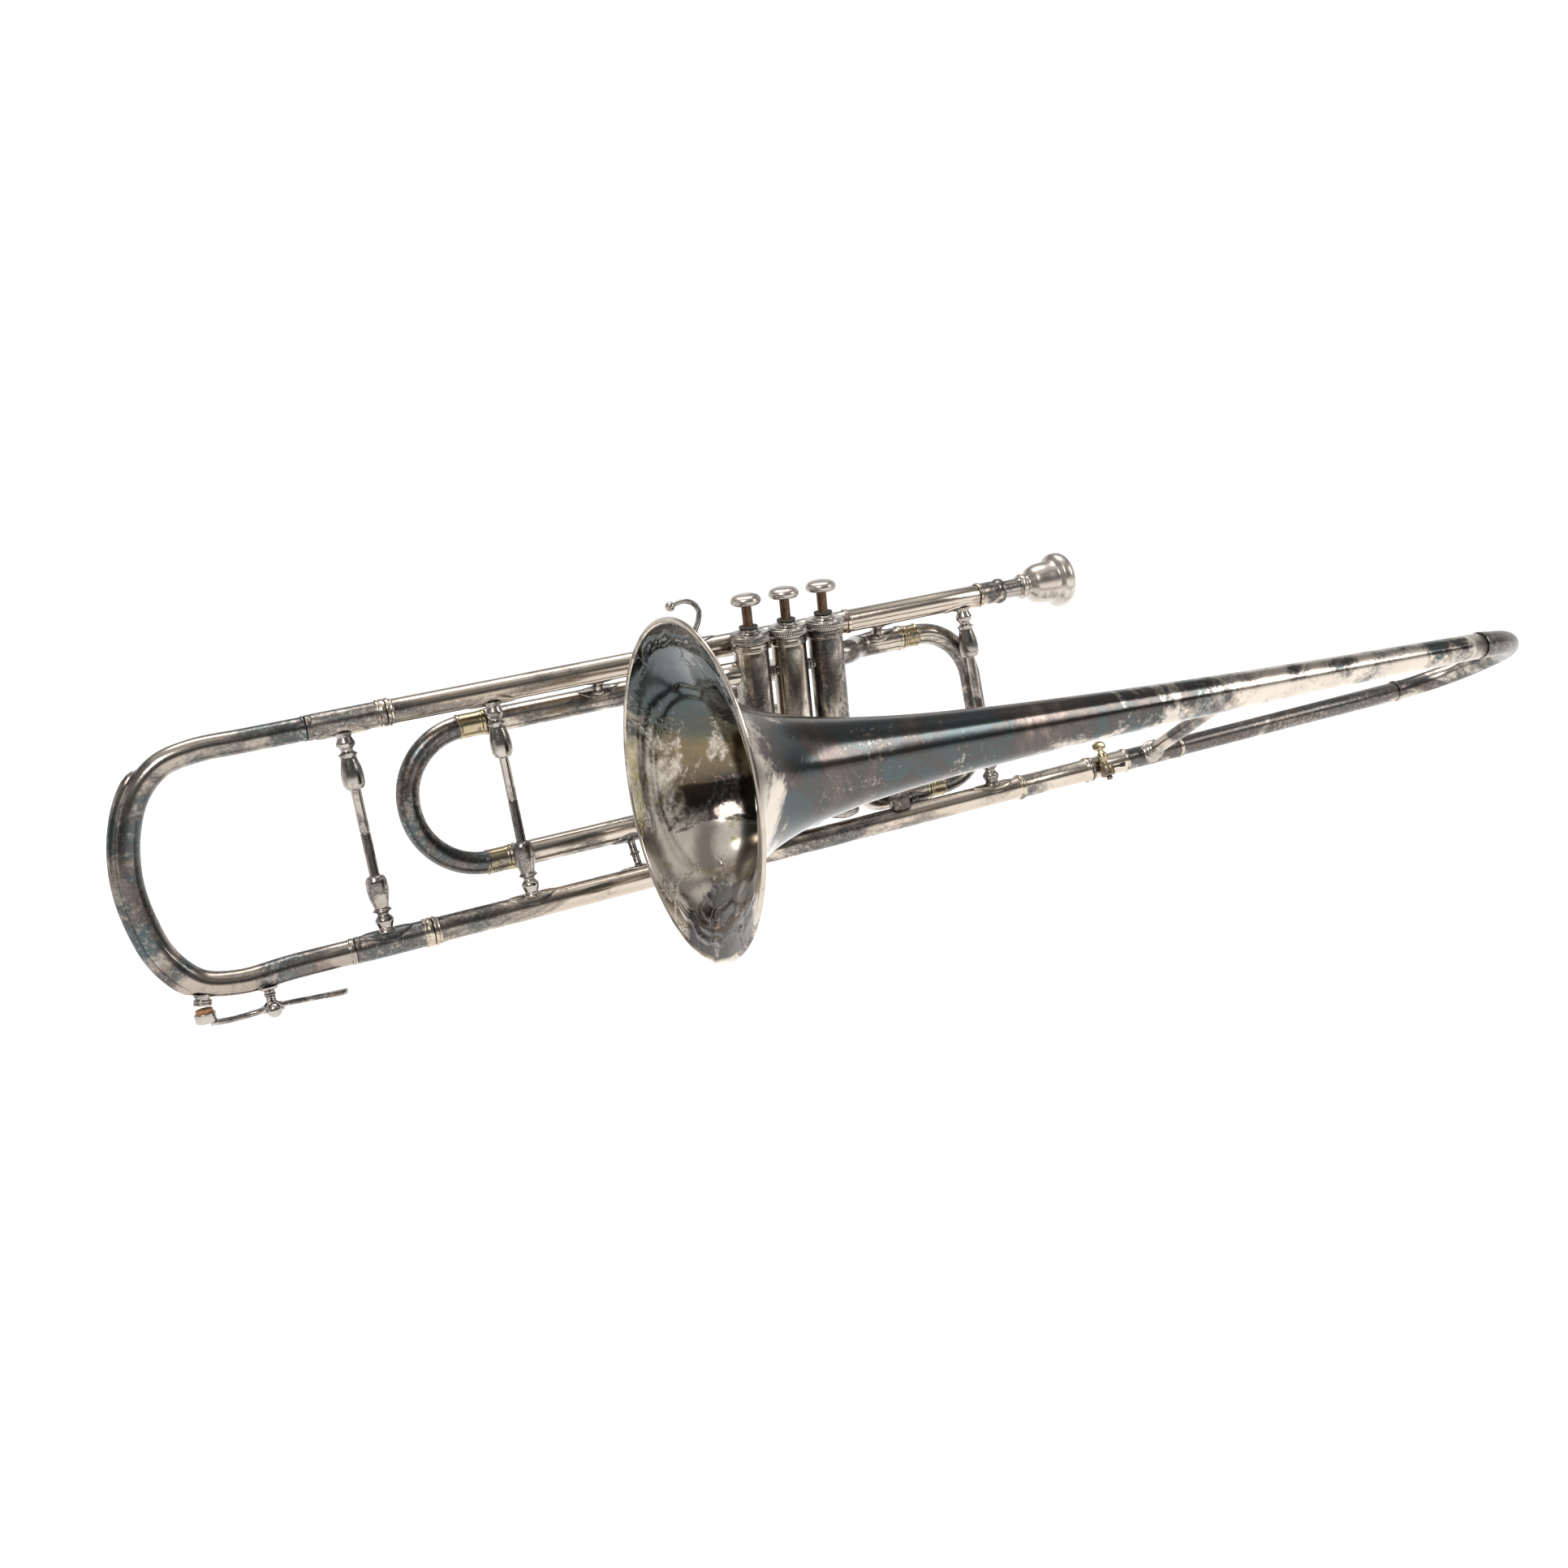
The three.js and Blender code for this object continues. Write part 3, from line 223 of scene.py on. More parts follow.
button_silver = tarnished("silver_buttons", 0.18, ((0.0, (0.42, 0.38, 0.34)), (1.0, (0.54, 0.49, 0.44))),
                          BROWN_DARK, 70, (5, 9, 9), shine=0.27, dull=0.36)
brass_ring = tarnished("worn_brass", 0.34, BRASSY, BROWN_DARK, 90, (2, 6, 5), shine=0.2, speck=0.35)
ring_silver = tarnished("silver_rings", 0.30, RINGED, BROWN_DARK, 90, (4, 2, 5), shine=0.16, speck=0.35)
tail_silver = tarnished("silver_bell_tail", 0.42, WARM_PALE, DARK, 15, (1.3, 4, 2), (0.7, 1.2, 1.2))
neck_silver = tarnished("silver_gooseneck", 0.66, PALE, BROWN_DARK, 18, (3.4, 6, 2), (0.6, 1.2, 1.2))


def plain(name, low, high, scale, roughness, metallic=0.0, relief=0.4, offset=(0, 0, 0)):
    material, tree, shader, where = node_tree(name)
    shader.inputs["Metallic"].default_value = metallic
    shader.inputs["Roughness"].default_value = roughness
    value = noise(tree, where, scale, 6, 0.65, 0.3, offset)
    tree.links.new(ramp(tree, value, ((0.3, low), (0.7, high))), shader.inputs["Base Color"])
    bump(tree, shader, value, relief)
    return material


stem_brown = plain("brown_stem", (0.045, 0.028, 0.020), (0.17, 0.105, 0.065), 300, 0.36, 1.0, 0.15)
felt = plain("felt", (0.030, 0.027, 0.024), (0.095, 0.085, 0.075), 900, 0.95)
cork = plain("cork", (0.16, 0.065, 0.028), (0.42, 0.20, 0.095), 500, 0.85)
wire = plain("spring_wire", (0.30, 0.28, 0.26), (0.50, 0.48, 0.45), 200, 0.35, 1.0, 0.1)
# Painted shadow: a dark material standing in for the shade inside the clamp collar's slit.
painted_slit_shadow = plain("slit_shadow", (0.010, 0.009, 0.008), (0.030, 0.026, 0.022), 400, 0.9)


# ---------------------------------------------------------------- mesh code
def add_piece(name, points, faces, materials, body, nodes=(), sharp=38, choose=None):
    mesh = bpy.data.meshes.new(name)
    mesh.from_pydata([(Vector(p) + TO_ROW) * MM for p in points], [], faces)
    for material in materials:
        mesh.materials.append(material)
    if choose:
        for polygon, face in zip(mesh.polygons, faces):
            centre = sum((Vector(points[i]) for i in face), Vector()) / len(face)
            polygon.material_index = choose(centre, face)
    work = bmesh.new()
    work.from_mesh(mesh)
    bmesh.ops.recalc_face_normals(work, faces=work.faces)
    work.to_mesh(mesh)
    work.free()
    mesh.polygons.foreach_set("use_smooth", [True] * len(mesh.polygons))
    mesh.set_sharp_from_angle(angle=math.radians(sharp))
    piece = bpy.data.objects.new(name, mesh)
    scene.collection.objects.link(piece)
    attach(piece, body)
    if nodes:
        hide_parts(*nodes)
    return piece


def skin(rings, loop=False):
    """Points and faces of a surface through rings of points; a ring of one point is a tip.

    The ends are closed with flat faces unless the last ring joins back to the first.
    """
    points = []
    placed = []
    for ring in rings:
        placed.append(list(range(len(points), len(points) + len(ring))))
        points.extend(ring)
    faces = []
    pairs = list(zip(placed, placed[1:]))
    if loop:
        pairs.append((placed[-1], placed[0]))
    for a, b in pairs:
        count = max(len(a), len(b))
        for k in range(count):
            j = (k + 1) % count
            if len(a) == 1 and len(b) > 1:
                faces.append((a[0], b[j], b[k]))
            elif len(b) == 1 and len(a) > 1:
                faces.append((a[k], a[j], b[0]))
            elif len(a) > 1:
                faces.append((a[k], a[j], b[j], b[k]))
    if not loop:
        for ring in (placed[0], placed[-1]):
            if len(ring) > 2:
                faces.append(tuple(ring))
    return points, faces


def soften(profile, reach=0.35):
    """Rounds each corner of a (radius, along) profile."""
    smooth = [profile[0]]
    for before, corner, after in zip(profile, profile[1:], profile[2:]):
        b, c, a = Vector(before), Vector(corner), Vector(after)
        into, out = c - b, a - c
        if into.length < 1e-6 or out.length < 1e-6 or into.angle(out) < 0.25:
            smooth.append(corner)
            continue
        step = min(reach, into.length * 0.45, out.length * 0.45)
        first = c - into.normalized() * step
        last = c + out.normalized() * step
        smooth.extend([tuple(first), tuple((first + c * 2 + last) / 4), tuple(last)])
    smooth.append(profile[-1])
    return smooth


def frame_of(axis):
    axis = Vector(axis).normalized()
    side = Y if abs(axis.y) < 0.8 else X
    side = (side - axis * side.dot(axis)).normalized()
    return axis, side, side.cross(axis)


def turned(name, profile, origin, axis, materials, body, nodes=(), slot="silver", sides=56, reach=0.35,
           bands=(), knurl=None):
    """A turned piece from (radius, along) pairs; bands name stretches that take the later materials."""
    axis, side, other = frame_of(axis)
    origin = Vector(origin)
    rings = []
    for radius, along in soften(profile, reach):
        centre = origin + axis * along
        if radius < 1e-5:
            rings.append([centre])
            continue
        ring = []
        for k in range(sides):
            angle = 2 * math.pi * k / sides
            r = radius + (knurl(angle, along) if knurl else 0)
            ring.append(centre + side * (r * math.cos(angle)) + other * (r * math.sin(angle)))
        rings.append(ring)
    points, faces = skin(rings)

    def choose(centre, face):
        along = (centre - origin).dot(axis)
        for low, high, index in bands:
            if low <= along <= high:
                return index
        return 0

    return add_piece(name, points, faces, materials, body, nodes, choose=choose if bands else None)


def on_x(name, profile, y, z, materials, body, nodes=(), slot="silver", **more):
    return turned(name, profile, (0, y, z), X, materials, body, nodes, slot, **more)


def hollow(outside, bore):
    """Closes an outside profile with a straight or tapered bore."""
    return [*outside, *reversed(bore), outside[0]]


def interpolate(pairs, s):
    if s <= pairs[0][0]:
        return pairs[0][1]
    for (s0, r0), (s1, r1) in zip(pairs, pairs[1:]):
        if s <= s1:
            return r0 + (r1 - r0) * (s - s0) / max(s1 - s0, 1e-9)
    return pairs[-1][1]


def path_length(path):
    return sum((b - a).length for a, b in zip(path, path[1:]))


def at_lengths(path, lengths):
    """Points and directions of a dense path at the given lengths along it."""
    found = []
    travelled = 0.0
    i = 0
    for s in lengths:
        while i < len(path) - 2 and travelled + (path[i + 1] - path[i]).length < s:
            travelled += (path[i + 1] - path[i]).length
            i += 1
        step = path[i + 1] - path[i]
        share = (s - travelled) / max(step.length, 1e-9)
        found.append((path[i] + step * share, step.normalized()))
    return found


def pipe(name, path, radii, materials, body, nodes=(), bore=None, sides=40, step=2.0,
         bands=()):
    """A tube carried along a path, with its radius from (length, radius) pairs."""
    total = path_length(path)
    rounded = [(s, r) for r, s in soften([(r, s) for s, r in radii], 0.4)]
    count = max(2, int(total / step))
    lengths = sorted({round(s, 4) for s in [total * i / count for i in range(count + 1)]}
                     | {round(min(max(s, 0), total), 4) for s, _ in rounded})
    _, side, _ = frame_of(path[1] - path[0])
    outer = []
    inner = []
    centres = []
    for s, (centre, tangent) in zip(lengths, at_lengths(path, lengths)):
        side = (side - tangent * side.dot(tangent)).normalized()
        other = side.cross(tangent)
        spokes = [(side * math.cos(a) + other * math.sin(a))
                  for a in (2 * math.pi * k / sides for k in range(sides))]
        radius = interpolate(rounded, s)
        outer.append([centre + spoke * radius for spoke in spokes])
        centres.append((s, centre))
        if bore:
            hole = min(bore, radius - 0.3)
            inner.append([centre + spoke * hole for spoke in spokes])
    if bore:
        points, faces = skin(outer + inner[::-1], loop=True)
    else:
        points, faces = skin(outer)

    def choose(centre, face):
        s = min(centres, key=lambda entry: (entry[1] - centre).length)[0]
        for low, high, index in bands:
            if low <= s <= high or low <= total - s <= high:
                return index
        return 0

    return add_piece(name, points, faces, materials, body, nodes, choose=choose if bands else None)


def cubic(a, b, c, d, count=24):
    a, b, c, d = Vector(a), Vector(b), Vector(c), Vector(d)
    path = []
    for i in range(count + 1):
        t = i / count
        path.append(a * (1 - t) ** 3 + b * (3 * t * (1 - t) ** 2) + c * (3 * t * t * (1 - t)) + d * t ** 3)
    return path


def route(corners, bend):
    """Straight runs whose corners are rounded with the given bend radius."""
    points = [Vector(c) for c in corners]
    path = [points[0]]
    for before, corner, after in zip(points, points[1:], points[2:]):
        into = (corner - before).normalized()
        out = (after - corner).normalized()
        angle = into.angle(out)
        back = bend * math.tan(angle / 2)
        pull = 4 / 3 * math.tan(angle / 4) * bend
        start = corner - into * back
        end = corner + out * back
        arc = cubic(start, start + into * pull, end - out * pull, end)
        if (start - path[-1]).length < 0.01:
            arc = arc[1:]
        path.extend(arc)
    path.append(points[-1])
    return path


def spline(corners, count=16):
    """Centripetal Catmull-Rom curve through the corners."""
    points = [Vector(c) for c in corners]
    points = [points[0] * 2 - points[1], *points, points[-1] * 2 - points[-2]]
    path = []
    for p0, p1, p2, p3 in zip(points, points[1:], points[2:], points[3:]):
        t1 = (p1 - p0).length ** 0.5
        t2 = t1 + (p2 - p1).length ** 0.5
        t3 = t2 + (p3 - p2).length ** 0.5
        for i in range(count):
            t = t1 + (t2 - t1) * i / count
            a1 = p0 * ((t1 - t) / t1) + p1 * (t / t1)
            a2 = p1 * ((t2 - t) / (t2 - t1)) + p2 * ((t - t1) / (t2 - t1))
            a3 = p2 * ((t3 - t) / (t3 - t2)) + p3 * ((t - t2) / (t3 - t2))
            b1 = a1 * ((t2 - t) / t2) + a2 * (t / t2)
            b2 = a2 * ((t3 - t) / (t3 - t1)) + a3 * ((t - t1) / (t3 - t1))
            path.append(b1 * ((t2 - t) / (t2 - t1)) + b2 * ((t - t1) / (t2 - t1)))
    path.append(points[-2])
    return path


def ball(radius, start=0.0):
    """Profile of a ball whose lowest point is at start."""
    steps = 14
    return [(radius * math.sin(math.pi * i / steps), start + radius - radius * math.cos(math.pi * i / steps))
            for i in range(steps + 1)]


def saddle(name, x, y, z, tube, towards, length, spread, body, material=fitting_silver, thick=0.7):
    """A leaf-shaped flange lying on a tube that runs along x; towards is the way to its post."""
    turn = math.atan2(towards[1], towards[0])
    under = tube - 0.4
    rings = []
    stations = 28
    across = 12
    for i in range(stations + 1):
        u = -1 + 2 * i / stations
        along = x + u * length / 2
        half = math.radians(spread) * max(0.02, (1 - abs(u) ** 1.7) ** 0.8)
        ring = []
        for j in range(across + 1):
            v = -1 + 2 * j / across
            radius = tube + thick * (1 - abs(v) ** 4) * (1 - abs(u) ** 8) + 0.05
            angle = turn + v * half
            ring.append((along, y + radius * math.cos(angle), z + radius * math.sin(angle)))
        for j in range(across + 1):
            angle = turn + (1 - 2 * j / across) * half
            ring.append((along, y + under * math.cos(angle), z + under * math.sin(angle)))
        rings.append(ring)
    points, faces = skin(rings)
    return add_piece(name, points, faces, [material], body, sharp=60)


# ---------------------------------------------------------------- long tubes
def mouth_ring(radius):
    """Ring and bead at the front end of a long tube, where a leg of the main slide goes in."""
    return [(radius + rise, TUBE_END_X + along)
            for rise, along in ((0.3, 0), (1.2, 0.4), (1.2, 2.1), (0.2, 2.6), (0.6, 3.4), (0.05, 4.2),
                                (0, 88))]


on_x(
    "upper_tube_skin",
    hollow(
        [*mouth_ring(UPPER_RADIUS), (6.9, 46.2), (7.5, 46.6), (7.5, 49.2), (6.95, 49.6), (6.9, 110),
         (6.9, 141.7)],
        [(6.3, TUBE_END_X), (6.3, 141.7)],
    ),
    0, UPPER_Z, [upper_silver, ring_silver], "horn_body", ["upper_tube"],
    bands=[(-238.5, -234.2, 1), (46.2, 49.5, 1)],
)
on_x(
    "receiver",
    hollow(
        [(7.2, 142), (7.9, 142.4), (7.9, 144.6), (7.3, 145.2), (7.1, 156.6), (7.6, 157.2), (8.0, 158),
         (8.0, 160.6), (7.6, 161)],
        [(6.3, 142), (6.35, 161)],
    ),
    0, UPPER_Z, [post_silver, ring_silver], "horn_body", ["mouthpiece_receiver"], "dark_silver",
    bands=[(142, 144.9, 1)],
)
on_x(
    "lower_front_skin",
    hollow([*mouth_ring(LOWER_FRONT_RADIUS), (7.4, -62)], [(6.7, TUBE_END_X), (6.7, -62)]),
    0, 0, [lower_silver, ring_silver], "horn_body", ["lower_front_tube"], bands=[(-238.5, -234.2, 1)],
)
on_x(
    "lower_rear_skin",
    hollow(
        [(3.6, -40), (5.6, -39), (6.8, -36), (7.05, -32), (7.05, 50), (7.05, 148.4), (7.9, 148.8),
         (8.3, 149.6), (8.3, 151), (7.9, 151.7), (7.4, 152.2), (7.4, 180), (7.4, 200.8), (8.1, 201.2),
         (8.4, 202), (8.4, 203.2), (8.0, 204)],
        [(3.0, -40), (6.0, -34), (6.35, -30), (6.35, 204)],
    ),
    0, REAR_Z, [lower_silver, ring_silver, tail_silver], "horn_body", ["lower_rear_tube"],
    bands=[(148.3, 151.9, 1), (152, 200.8, 2)],
)

# ---------------------------------------------------------------- valves
valve_axis = Vector((0, -math.sin(VALVE_LEAN), math.cos(VALVE_LEAN)))


def valve_y(z):
    return -20 + (UPPER_Z - z) * math.tan(VALVE_LEAN)


def on_valve(number, name, profile, materials, body, nodes=(), slot="silver", **more):
    scaled = [(radius, z / math.cos(VALVE_LEAN)) for radius, z in profile]
    bands = [(low / math.cos(VALVE_LEAN), high / math.cos(VALVE_LEAN), index)
             for low, high, index in more.pop("bands", ())]
    origin = (VALVE_X[number], valve_y(0), 0)
    return turned(name, scaled, origin, valve_axis, materials, body, nodes, slot, bands=bands, **more)


def rope(low, high, count, depth, twist):
    """Slanting grooves round a band between two heights."""
    low, high = low / math.cos(VALVE_LEAN), high / math.cos(VALVE_LEAN)

    def cut(angle, along):
        if not low <= along <= high:
            return 0
        fade = min(1, (along - low) / 0.4, (high - along) / 0.4)
        return -depth * fade * (0.5 + 0.5 * math.cos(count * angle + twist * (along - low)))

    return cut


def barrel(radius, low, high, bulge, steps=8):
    """Profile of a band whose outline swells by bulge halfway up."""
    return [(radius + bulge * math.sin(math.pi * i / steps), low + (high - low) * i / steps)
            for i in range(steps + 1)]


for number in (1, 2, 3):
    n = str(number)
    on_valve(
        number, "casing_skin_" + n,
        hollow(
            [(10.5, 14), (10.5, 16.5), (10.75, 17), (10.75, 20.4), (10.5, 20.9), (10.5, 70), (10.5, 116),
             (10.5, 119.6), (11.2, 120.2), (11.4, 121.4), (10.9, 122.6), (10.9, 124)],
            [(9.6, 14), (9.6, 124)],
        ),
        [casing_silver], "horn_body", ["casing_" + n],
    )
    on_valve(
        number, "top_cap_skin_" + n,
        [(9.6, 124.2), (10.9, 124.2), (11.2, 124.6), (11.5, 125.2), *barrel(11.9, 125.4, 129.0, 0.55),
         (11.3, 129.3), (11.3, 129.9), (10.9, 130.4), (7.6, 130.4), (7.4, 130.9), (6.6, 131.2), (6.2, 131.0),
         (5.8, 131.2), (5.8, 132.3), (5.4, 132.6), (3.5, 132.6), (3.5, 128.4), (9.6, 128), (9.6, 124.2)],
        [fitting_silver], "horn_body", ["top_cap_" + n], sides=216, reach=0.2,
        knurl=rope(125.4, 129.0, 54, 0.42, 1.5),
    )
    on_valve(
        number, "bottom_cap_skin_" + n,
        [(0, 9.0), (2.6, 8.9), (4.0, 9.2), (4.3, 8.1), (9.4, 7.9), *barrel(10.9, 8.8, 11.8, 0.4),
         (10.5, 12.6), (10.5, 13.7), (9.3, 13.7), (9.3, 18), (8.3, 18), (8.3, 10.4), (0, 10.4)],
        [fitting_silver], "horn_body", ["bottom_cap_" + n], sides=216, reach=0.2,
        knurl=rope(8.8, 11.8, 54, 0.35, 1.5),
    )
    on_valve(
        number, "felt_ring_" + n,
        hollow([(5.3, 132.9), (5.7, 133.3), (5.6, 134.2), (5.2, 134.4)], [(3.4, 132.9), (3.4, 134.4)]),
        [felt], "horn_body", ["felt_" + n], "felt", sides=48,
    )
    on_valve(
        number, "valve_body_" + n,
        [(0, 60.8), (9.3, 60.8), (9.3, 118), (4.5, 118), (4.5, 120), (3.0, 120.4), (3.0, 146.1), (0, 146.1)],
        [stem_brown], "valve_" + n, ["piston_" + n], "valve_metal", sides=48,
    )
    on_valve(
        number, "button_skin_" + n,
        [(0, 146.4), (4.2, 146.3), (6.6, 146.4), (8.2, 147.0), (9.0, 148.0), (9.1, 149.2), (8.7, 150.4),
         (7.8, 151.5), (6.2, 152.3), (4.2, 152.7), (2.2, 152.82), (0, 152.85)],
        [button_silver], "valve_" + n, ["button_" + n], sides=64, reach=0.3,
    )
    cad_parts["valve_spring_" + n].data.materials.clear()
    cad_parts["valve_spring_" + n].data.materials.append(wire)

# Height of the links between neighbouring casings.
LINK_Z = 105
for name, left, right in (("casing_link_12", 2, 1), ("casing_link_23", 3, 2)):
    x0 = VALVE_X[left] + 9.9
    x1 = VALVE_X[right] - 9.9
    middle = (x0 + x1) / 2
    ribs = [(0, x0), (3.4, x0), (3.4, middle - 1.5), (2.4, middle - 1.2), (2.4, middle - 0.9),
            (3.3, middle - 0.6), (3.5, middle), (3.3, middle + 0.6), (2.4, middle + 0.9), (2.4, middle + 1.2),
            (3.4, middle + 1.5), (3.4, x1), (0, x1)]
    on_x(name + "_skin", ribs, valve_y(LINK_Z) - 1, LINK_Z, [fitting_silver], "horn_body", [name], sides=40,
         reach=0.2)

# ---------------------------------------------------------------- knuckles and slide sleeves
pipe(
    "inlet_bend",
    cubic((-61.7, 0, 0), (-46, 0, 0), (-52, 3, 19), (-30, 2, 19)),
    [(0, 7.5), (0.6, 8.3), (2.2, 8.3), (2.8, 7.1), (90, 6.8)], [lower_silver, ring_silver], "horn_body",
    ["inlet_knuckle"], bands=[(0, 2.6, 1)],
)
pipe(
    "outlet_bend",
    cubic((27, -3, 42), (52, -3, 42), (62, -1.5, 30), (62, -1.5, 3)),
    [(0, 6.2), (52, 6.2), (54, 6.6), (70, 7.2)], [slide_silver], "horn_body", ["outlet_knuckle"],
)


def sleeve(name, corners, bend):
    path = route(corners, bend)
    total = path_length(path)
    radii = [(0, 7.4), (0.3, 8.0), (1.8, 8.0), (2.2, 7.3), (total - 8, 7.3), (total, 7.7)]
    pipe(name + "_skin", path, radii, [slide_silver, ring_silver], "horn_body", [name], bore=6.5,
         bands=[(0, 1.9, 1)])


sleeve("third_slide_sleeve_upper",
       [(THIRD_SLEEVE_X, LOOP_Y, THIRD_UPPER_Z), (-62, LOOP_Y, THIRD_UPPER_Z), (-42, -12, 107.5),
        (-27, -14, 107.5)], 16)
sleeve("third_slide_sleeve_lower",
       [(THIRD_SLEEVE_X, LOOP_Y, THIRD_LOWER_Z), (-66, LOOP_Y, THIRD_LOWER_Z), (-44, 1, 36), (-27, 0,
                                                                                              37)], 16)
sleeve("first_slide_sleeve_upper",
       [(89.5, LOOP_Y, FIRST_UPPER_Z), (58, LOOP_Y, FIRST_UPPER_Z), (40, -12, 106.7), (26, -14, 106.7)], 14)
sleeve("first_slide_sleeve_lower",
       [(89.5, LOOP_Y, FIRST_LOWER_Z), (52, LOOP_Y, FIRST_LOWER_Z), (40, 6, 19), (26, 3, 20)], 12)
for side_name, z in (("upper", 104), ("lower", 76)):
    start = valve_y(z) + 9.5
    turned(
        "second_sleeve_skin_" + side_name,
        hollow([(7.6, start), (7.2, start + 2), (6.8, start + 4), (6.8, 49.4), (7.5, 49.8), (7.7, 50.6),
                (7.6, 52)], [(6.2, start), (6.2, 52)]),
        (VALVE_X[2], 0, z), Y, [slide_silver, ring_silver], "horn_body", ["second_slide_sleeve_" + side_name],
        bands=[(49.5, 52.2, 1)],
    )


# ---------------------------------------------------------------- valve slides
def valve_slide(name, body, corners, bend, leg, radius, ferrule, crook, crook_material):
    """A bent tube whose two legs hide in the sleeves, with a brass ferrule between each leg and the crook."""
    path = route(corners, bend)
    total = path_length(path)
    mouth = [(0.2, 0.9), (0.8, 1.15), (1.6, 0.9), (2.2, 0.5), (3.0, 0.8), (3.6, 0.5)]
    far_end = [(-1.6, 0.5), (-1.2, 0.85), (-0.4, 0.85), (0, 0)]
    half = [(0, radius), (leg, radius), *[(leg + s, crook + rise) for s, rise in mouth],
            *[(leg + ferrule + s, crook + rise) for s, rise in far_end]]
    radii = half + [(total - s, r) for s, r in reversed(half)]
    pipe(name + "_skin", path, radii, [crook_material, brass_ring, fitting_silver], body, [name],
         bore=radius - 0.7, bands=[(leg - 0.1, leg + ferrule, 1), (-1, leg, 2)], step=1.6)


valve_slide("third_valve_slide", "third_slide",
            [(-76.3, LOOP_Y, THIRD_UPPER_Z), (THIRD_CROOK_X, LOOP_Y, THIRD_UPPER_Z),
             (THIRD_CROOK_X, LOOP_Y, THIRD_LOWER_Z), (-76.3, LOOP_Y, THIRD_LOWER_Z)],
            39.15, 106, 5.9, 16, 6.6, teal_silver)
valve_slide("first_valve_slide", "first_slide",
            [(63.8, LOOP_Y, FIRST_UPPER_Z), (FIRST_CROOK_X, LOOP_Y, FIRST_UPPER_Z),
             (FIRST_CROOK_X, LOOP_Y, FIRST_LOWER_Z), (63.8, LOOP_Y, FIRST_LOWER_Z)],
            34, 26, 5.9, 11.5, 6.6, slide_silver)
valve_slide("second_valve_slide", "second_slide",
            [(-0.7, 10.3, 104), (-0.7, 81, 104), (-0.7, 81, 76), (-0.7, 10.3, 76)],
            13.6, 42, 5.6, 9, 6.3, slide_silver)

# ---------------------------------------------------------------- braces and posts
BALUSTER = [
    (5.4, 0), (5.1, 1.2), (3.8, 2.6), (5.3, 6.0), (5.0, 7.6), (3.3, 9.6), (3.3, 10.6), (5.6, 12.2), (4.2,
                                                                                                     13.6),
    (4.5, 15.5), (5.7, 20), (6.2, 25), (6.0, 29), (4.9, 31.6), (2.85, 32.2),
]


def brace(name, x, y, low_tube, high_tube, body):
    """A baluster between a lower and an upper tube, each given as (z, radius), with its two leaf flanges."""
    bottom = low_tube[0] + low_tube[1] - 1.2
    top = high_tube[0] - high_tube[1] + 1.2
    length = top - bottom
    middle = length / 2
    collar = [(2.85, middle - 0.5), (2.45, middle - 0.2), (2.45, middle + 0.2), (2.85, middle + 0.5)]
    profile = BALUSTER + collar + [(r, length - s) for r, s in reversed(BALUSTER)]
    turned(name + "_skin", [(0, 0), *profile, (0, length)], (x, y, bottom), Z, [fitting_silver], body, [name],
           sides=48, reach=0.6)
    saddle(name + "_leaf_low", x, 0, low_tube[0], low_tube[1], (-0.35, 1), 30, 58, body, lower_silver)
    saddle(name + "_leaf_high", x, 0, high_tube[0], high_tube[1], (-0.35, -1), 30, 58, body, upper_silver)


brace("brace_middle", -179, -2, (0, LOWER_FRONT_RADIUS), (UPPER_Z, UPPER_RADIUS), "horn_body")
brace("brace_rear", 130, -1.5, (REAR_Z, LOWER_REAR_RADIUS), (UPPER_Z, UPPER_RADIUS), "horn_body")
brace("brace_front", -262.5, -1.5, (0, 7.6), (UPPER_Z, 7.2), "main_slide")


def post(name, x, first, second):
    """A short ribbed post between two tubes, each given as (y, z, radius)."""
    start = Vector((x, first[0], first[1]))
    end = Vector((x, second[0], second[1]))
    length = (end - start).length
    r0, r1 = first[2], second[2]
    low, high = r0 - 0.6, length - r1 + 0.6
    middle = (low + high) / 2
    ends = [(4.6, 0), (4.4, 0.9), (2.6, 1.7), (2.3, 2.2)]
    bead = [(2.2, middle - 0.9), (3.0, middle - 0.5), (3.0, middle + 0.5), (2.2, middle + 0.9)]
    profile = [(0, low), *[(r, low + s) for r, s in ends], *bead,
               *[(r, high - s) for r, s in reversed(ends)], (0, high)]
    profile = [p for i, p in enumerate(profile) if i == 0 or p[1] >= profile[i - 1][1]]
    direction = (end - start).normalized()
    turned(name + "_skin", profile, start, direction, [post_silver], "horn_body", [name], "dark_silver",
           sides=32, reach=0.2)
    for side, tube, sign in (("_leaf_a", first, 1), ("_leaf_b", second, -1)):
        saddle(name + side, x, *tube, (sign * direction.y, sign * direction.z), 25, 50, "horn_body",
               post_silver)


upper_line = (0, UPPER_Z, UPPER_RADIUS)
post("post_upper_front", -114, upper_line, (LOOP_Y, THIRD_UPPER_Z, SLEEVE_RADIUS))
post("post_lower_front", -112, (LOOP_Y, THIRD_LOWER_Z, SLEEVE_RADIUS), (0, 0, LOWER_FRONT_RADIUS))
post("post_upper_rear", 72, upper_line, (LOOP_Y, FIRST_UPPER_Z, SLEEVE_RADIUS))
post("post_lower_rear", 76, (LOOP_Y, FIRST_LOWER_Z, SLEEVE_RADIUS), (0, REAR_Z, LOWER_REAR_RADIUS))

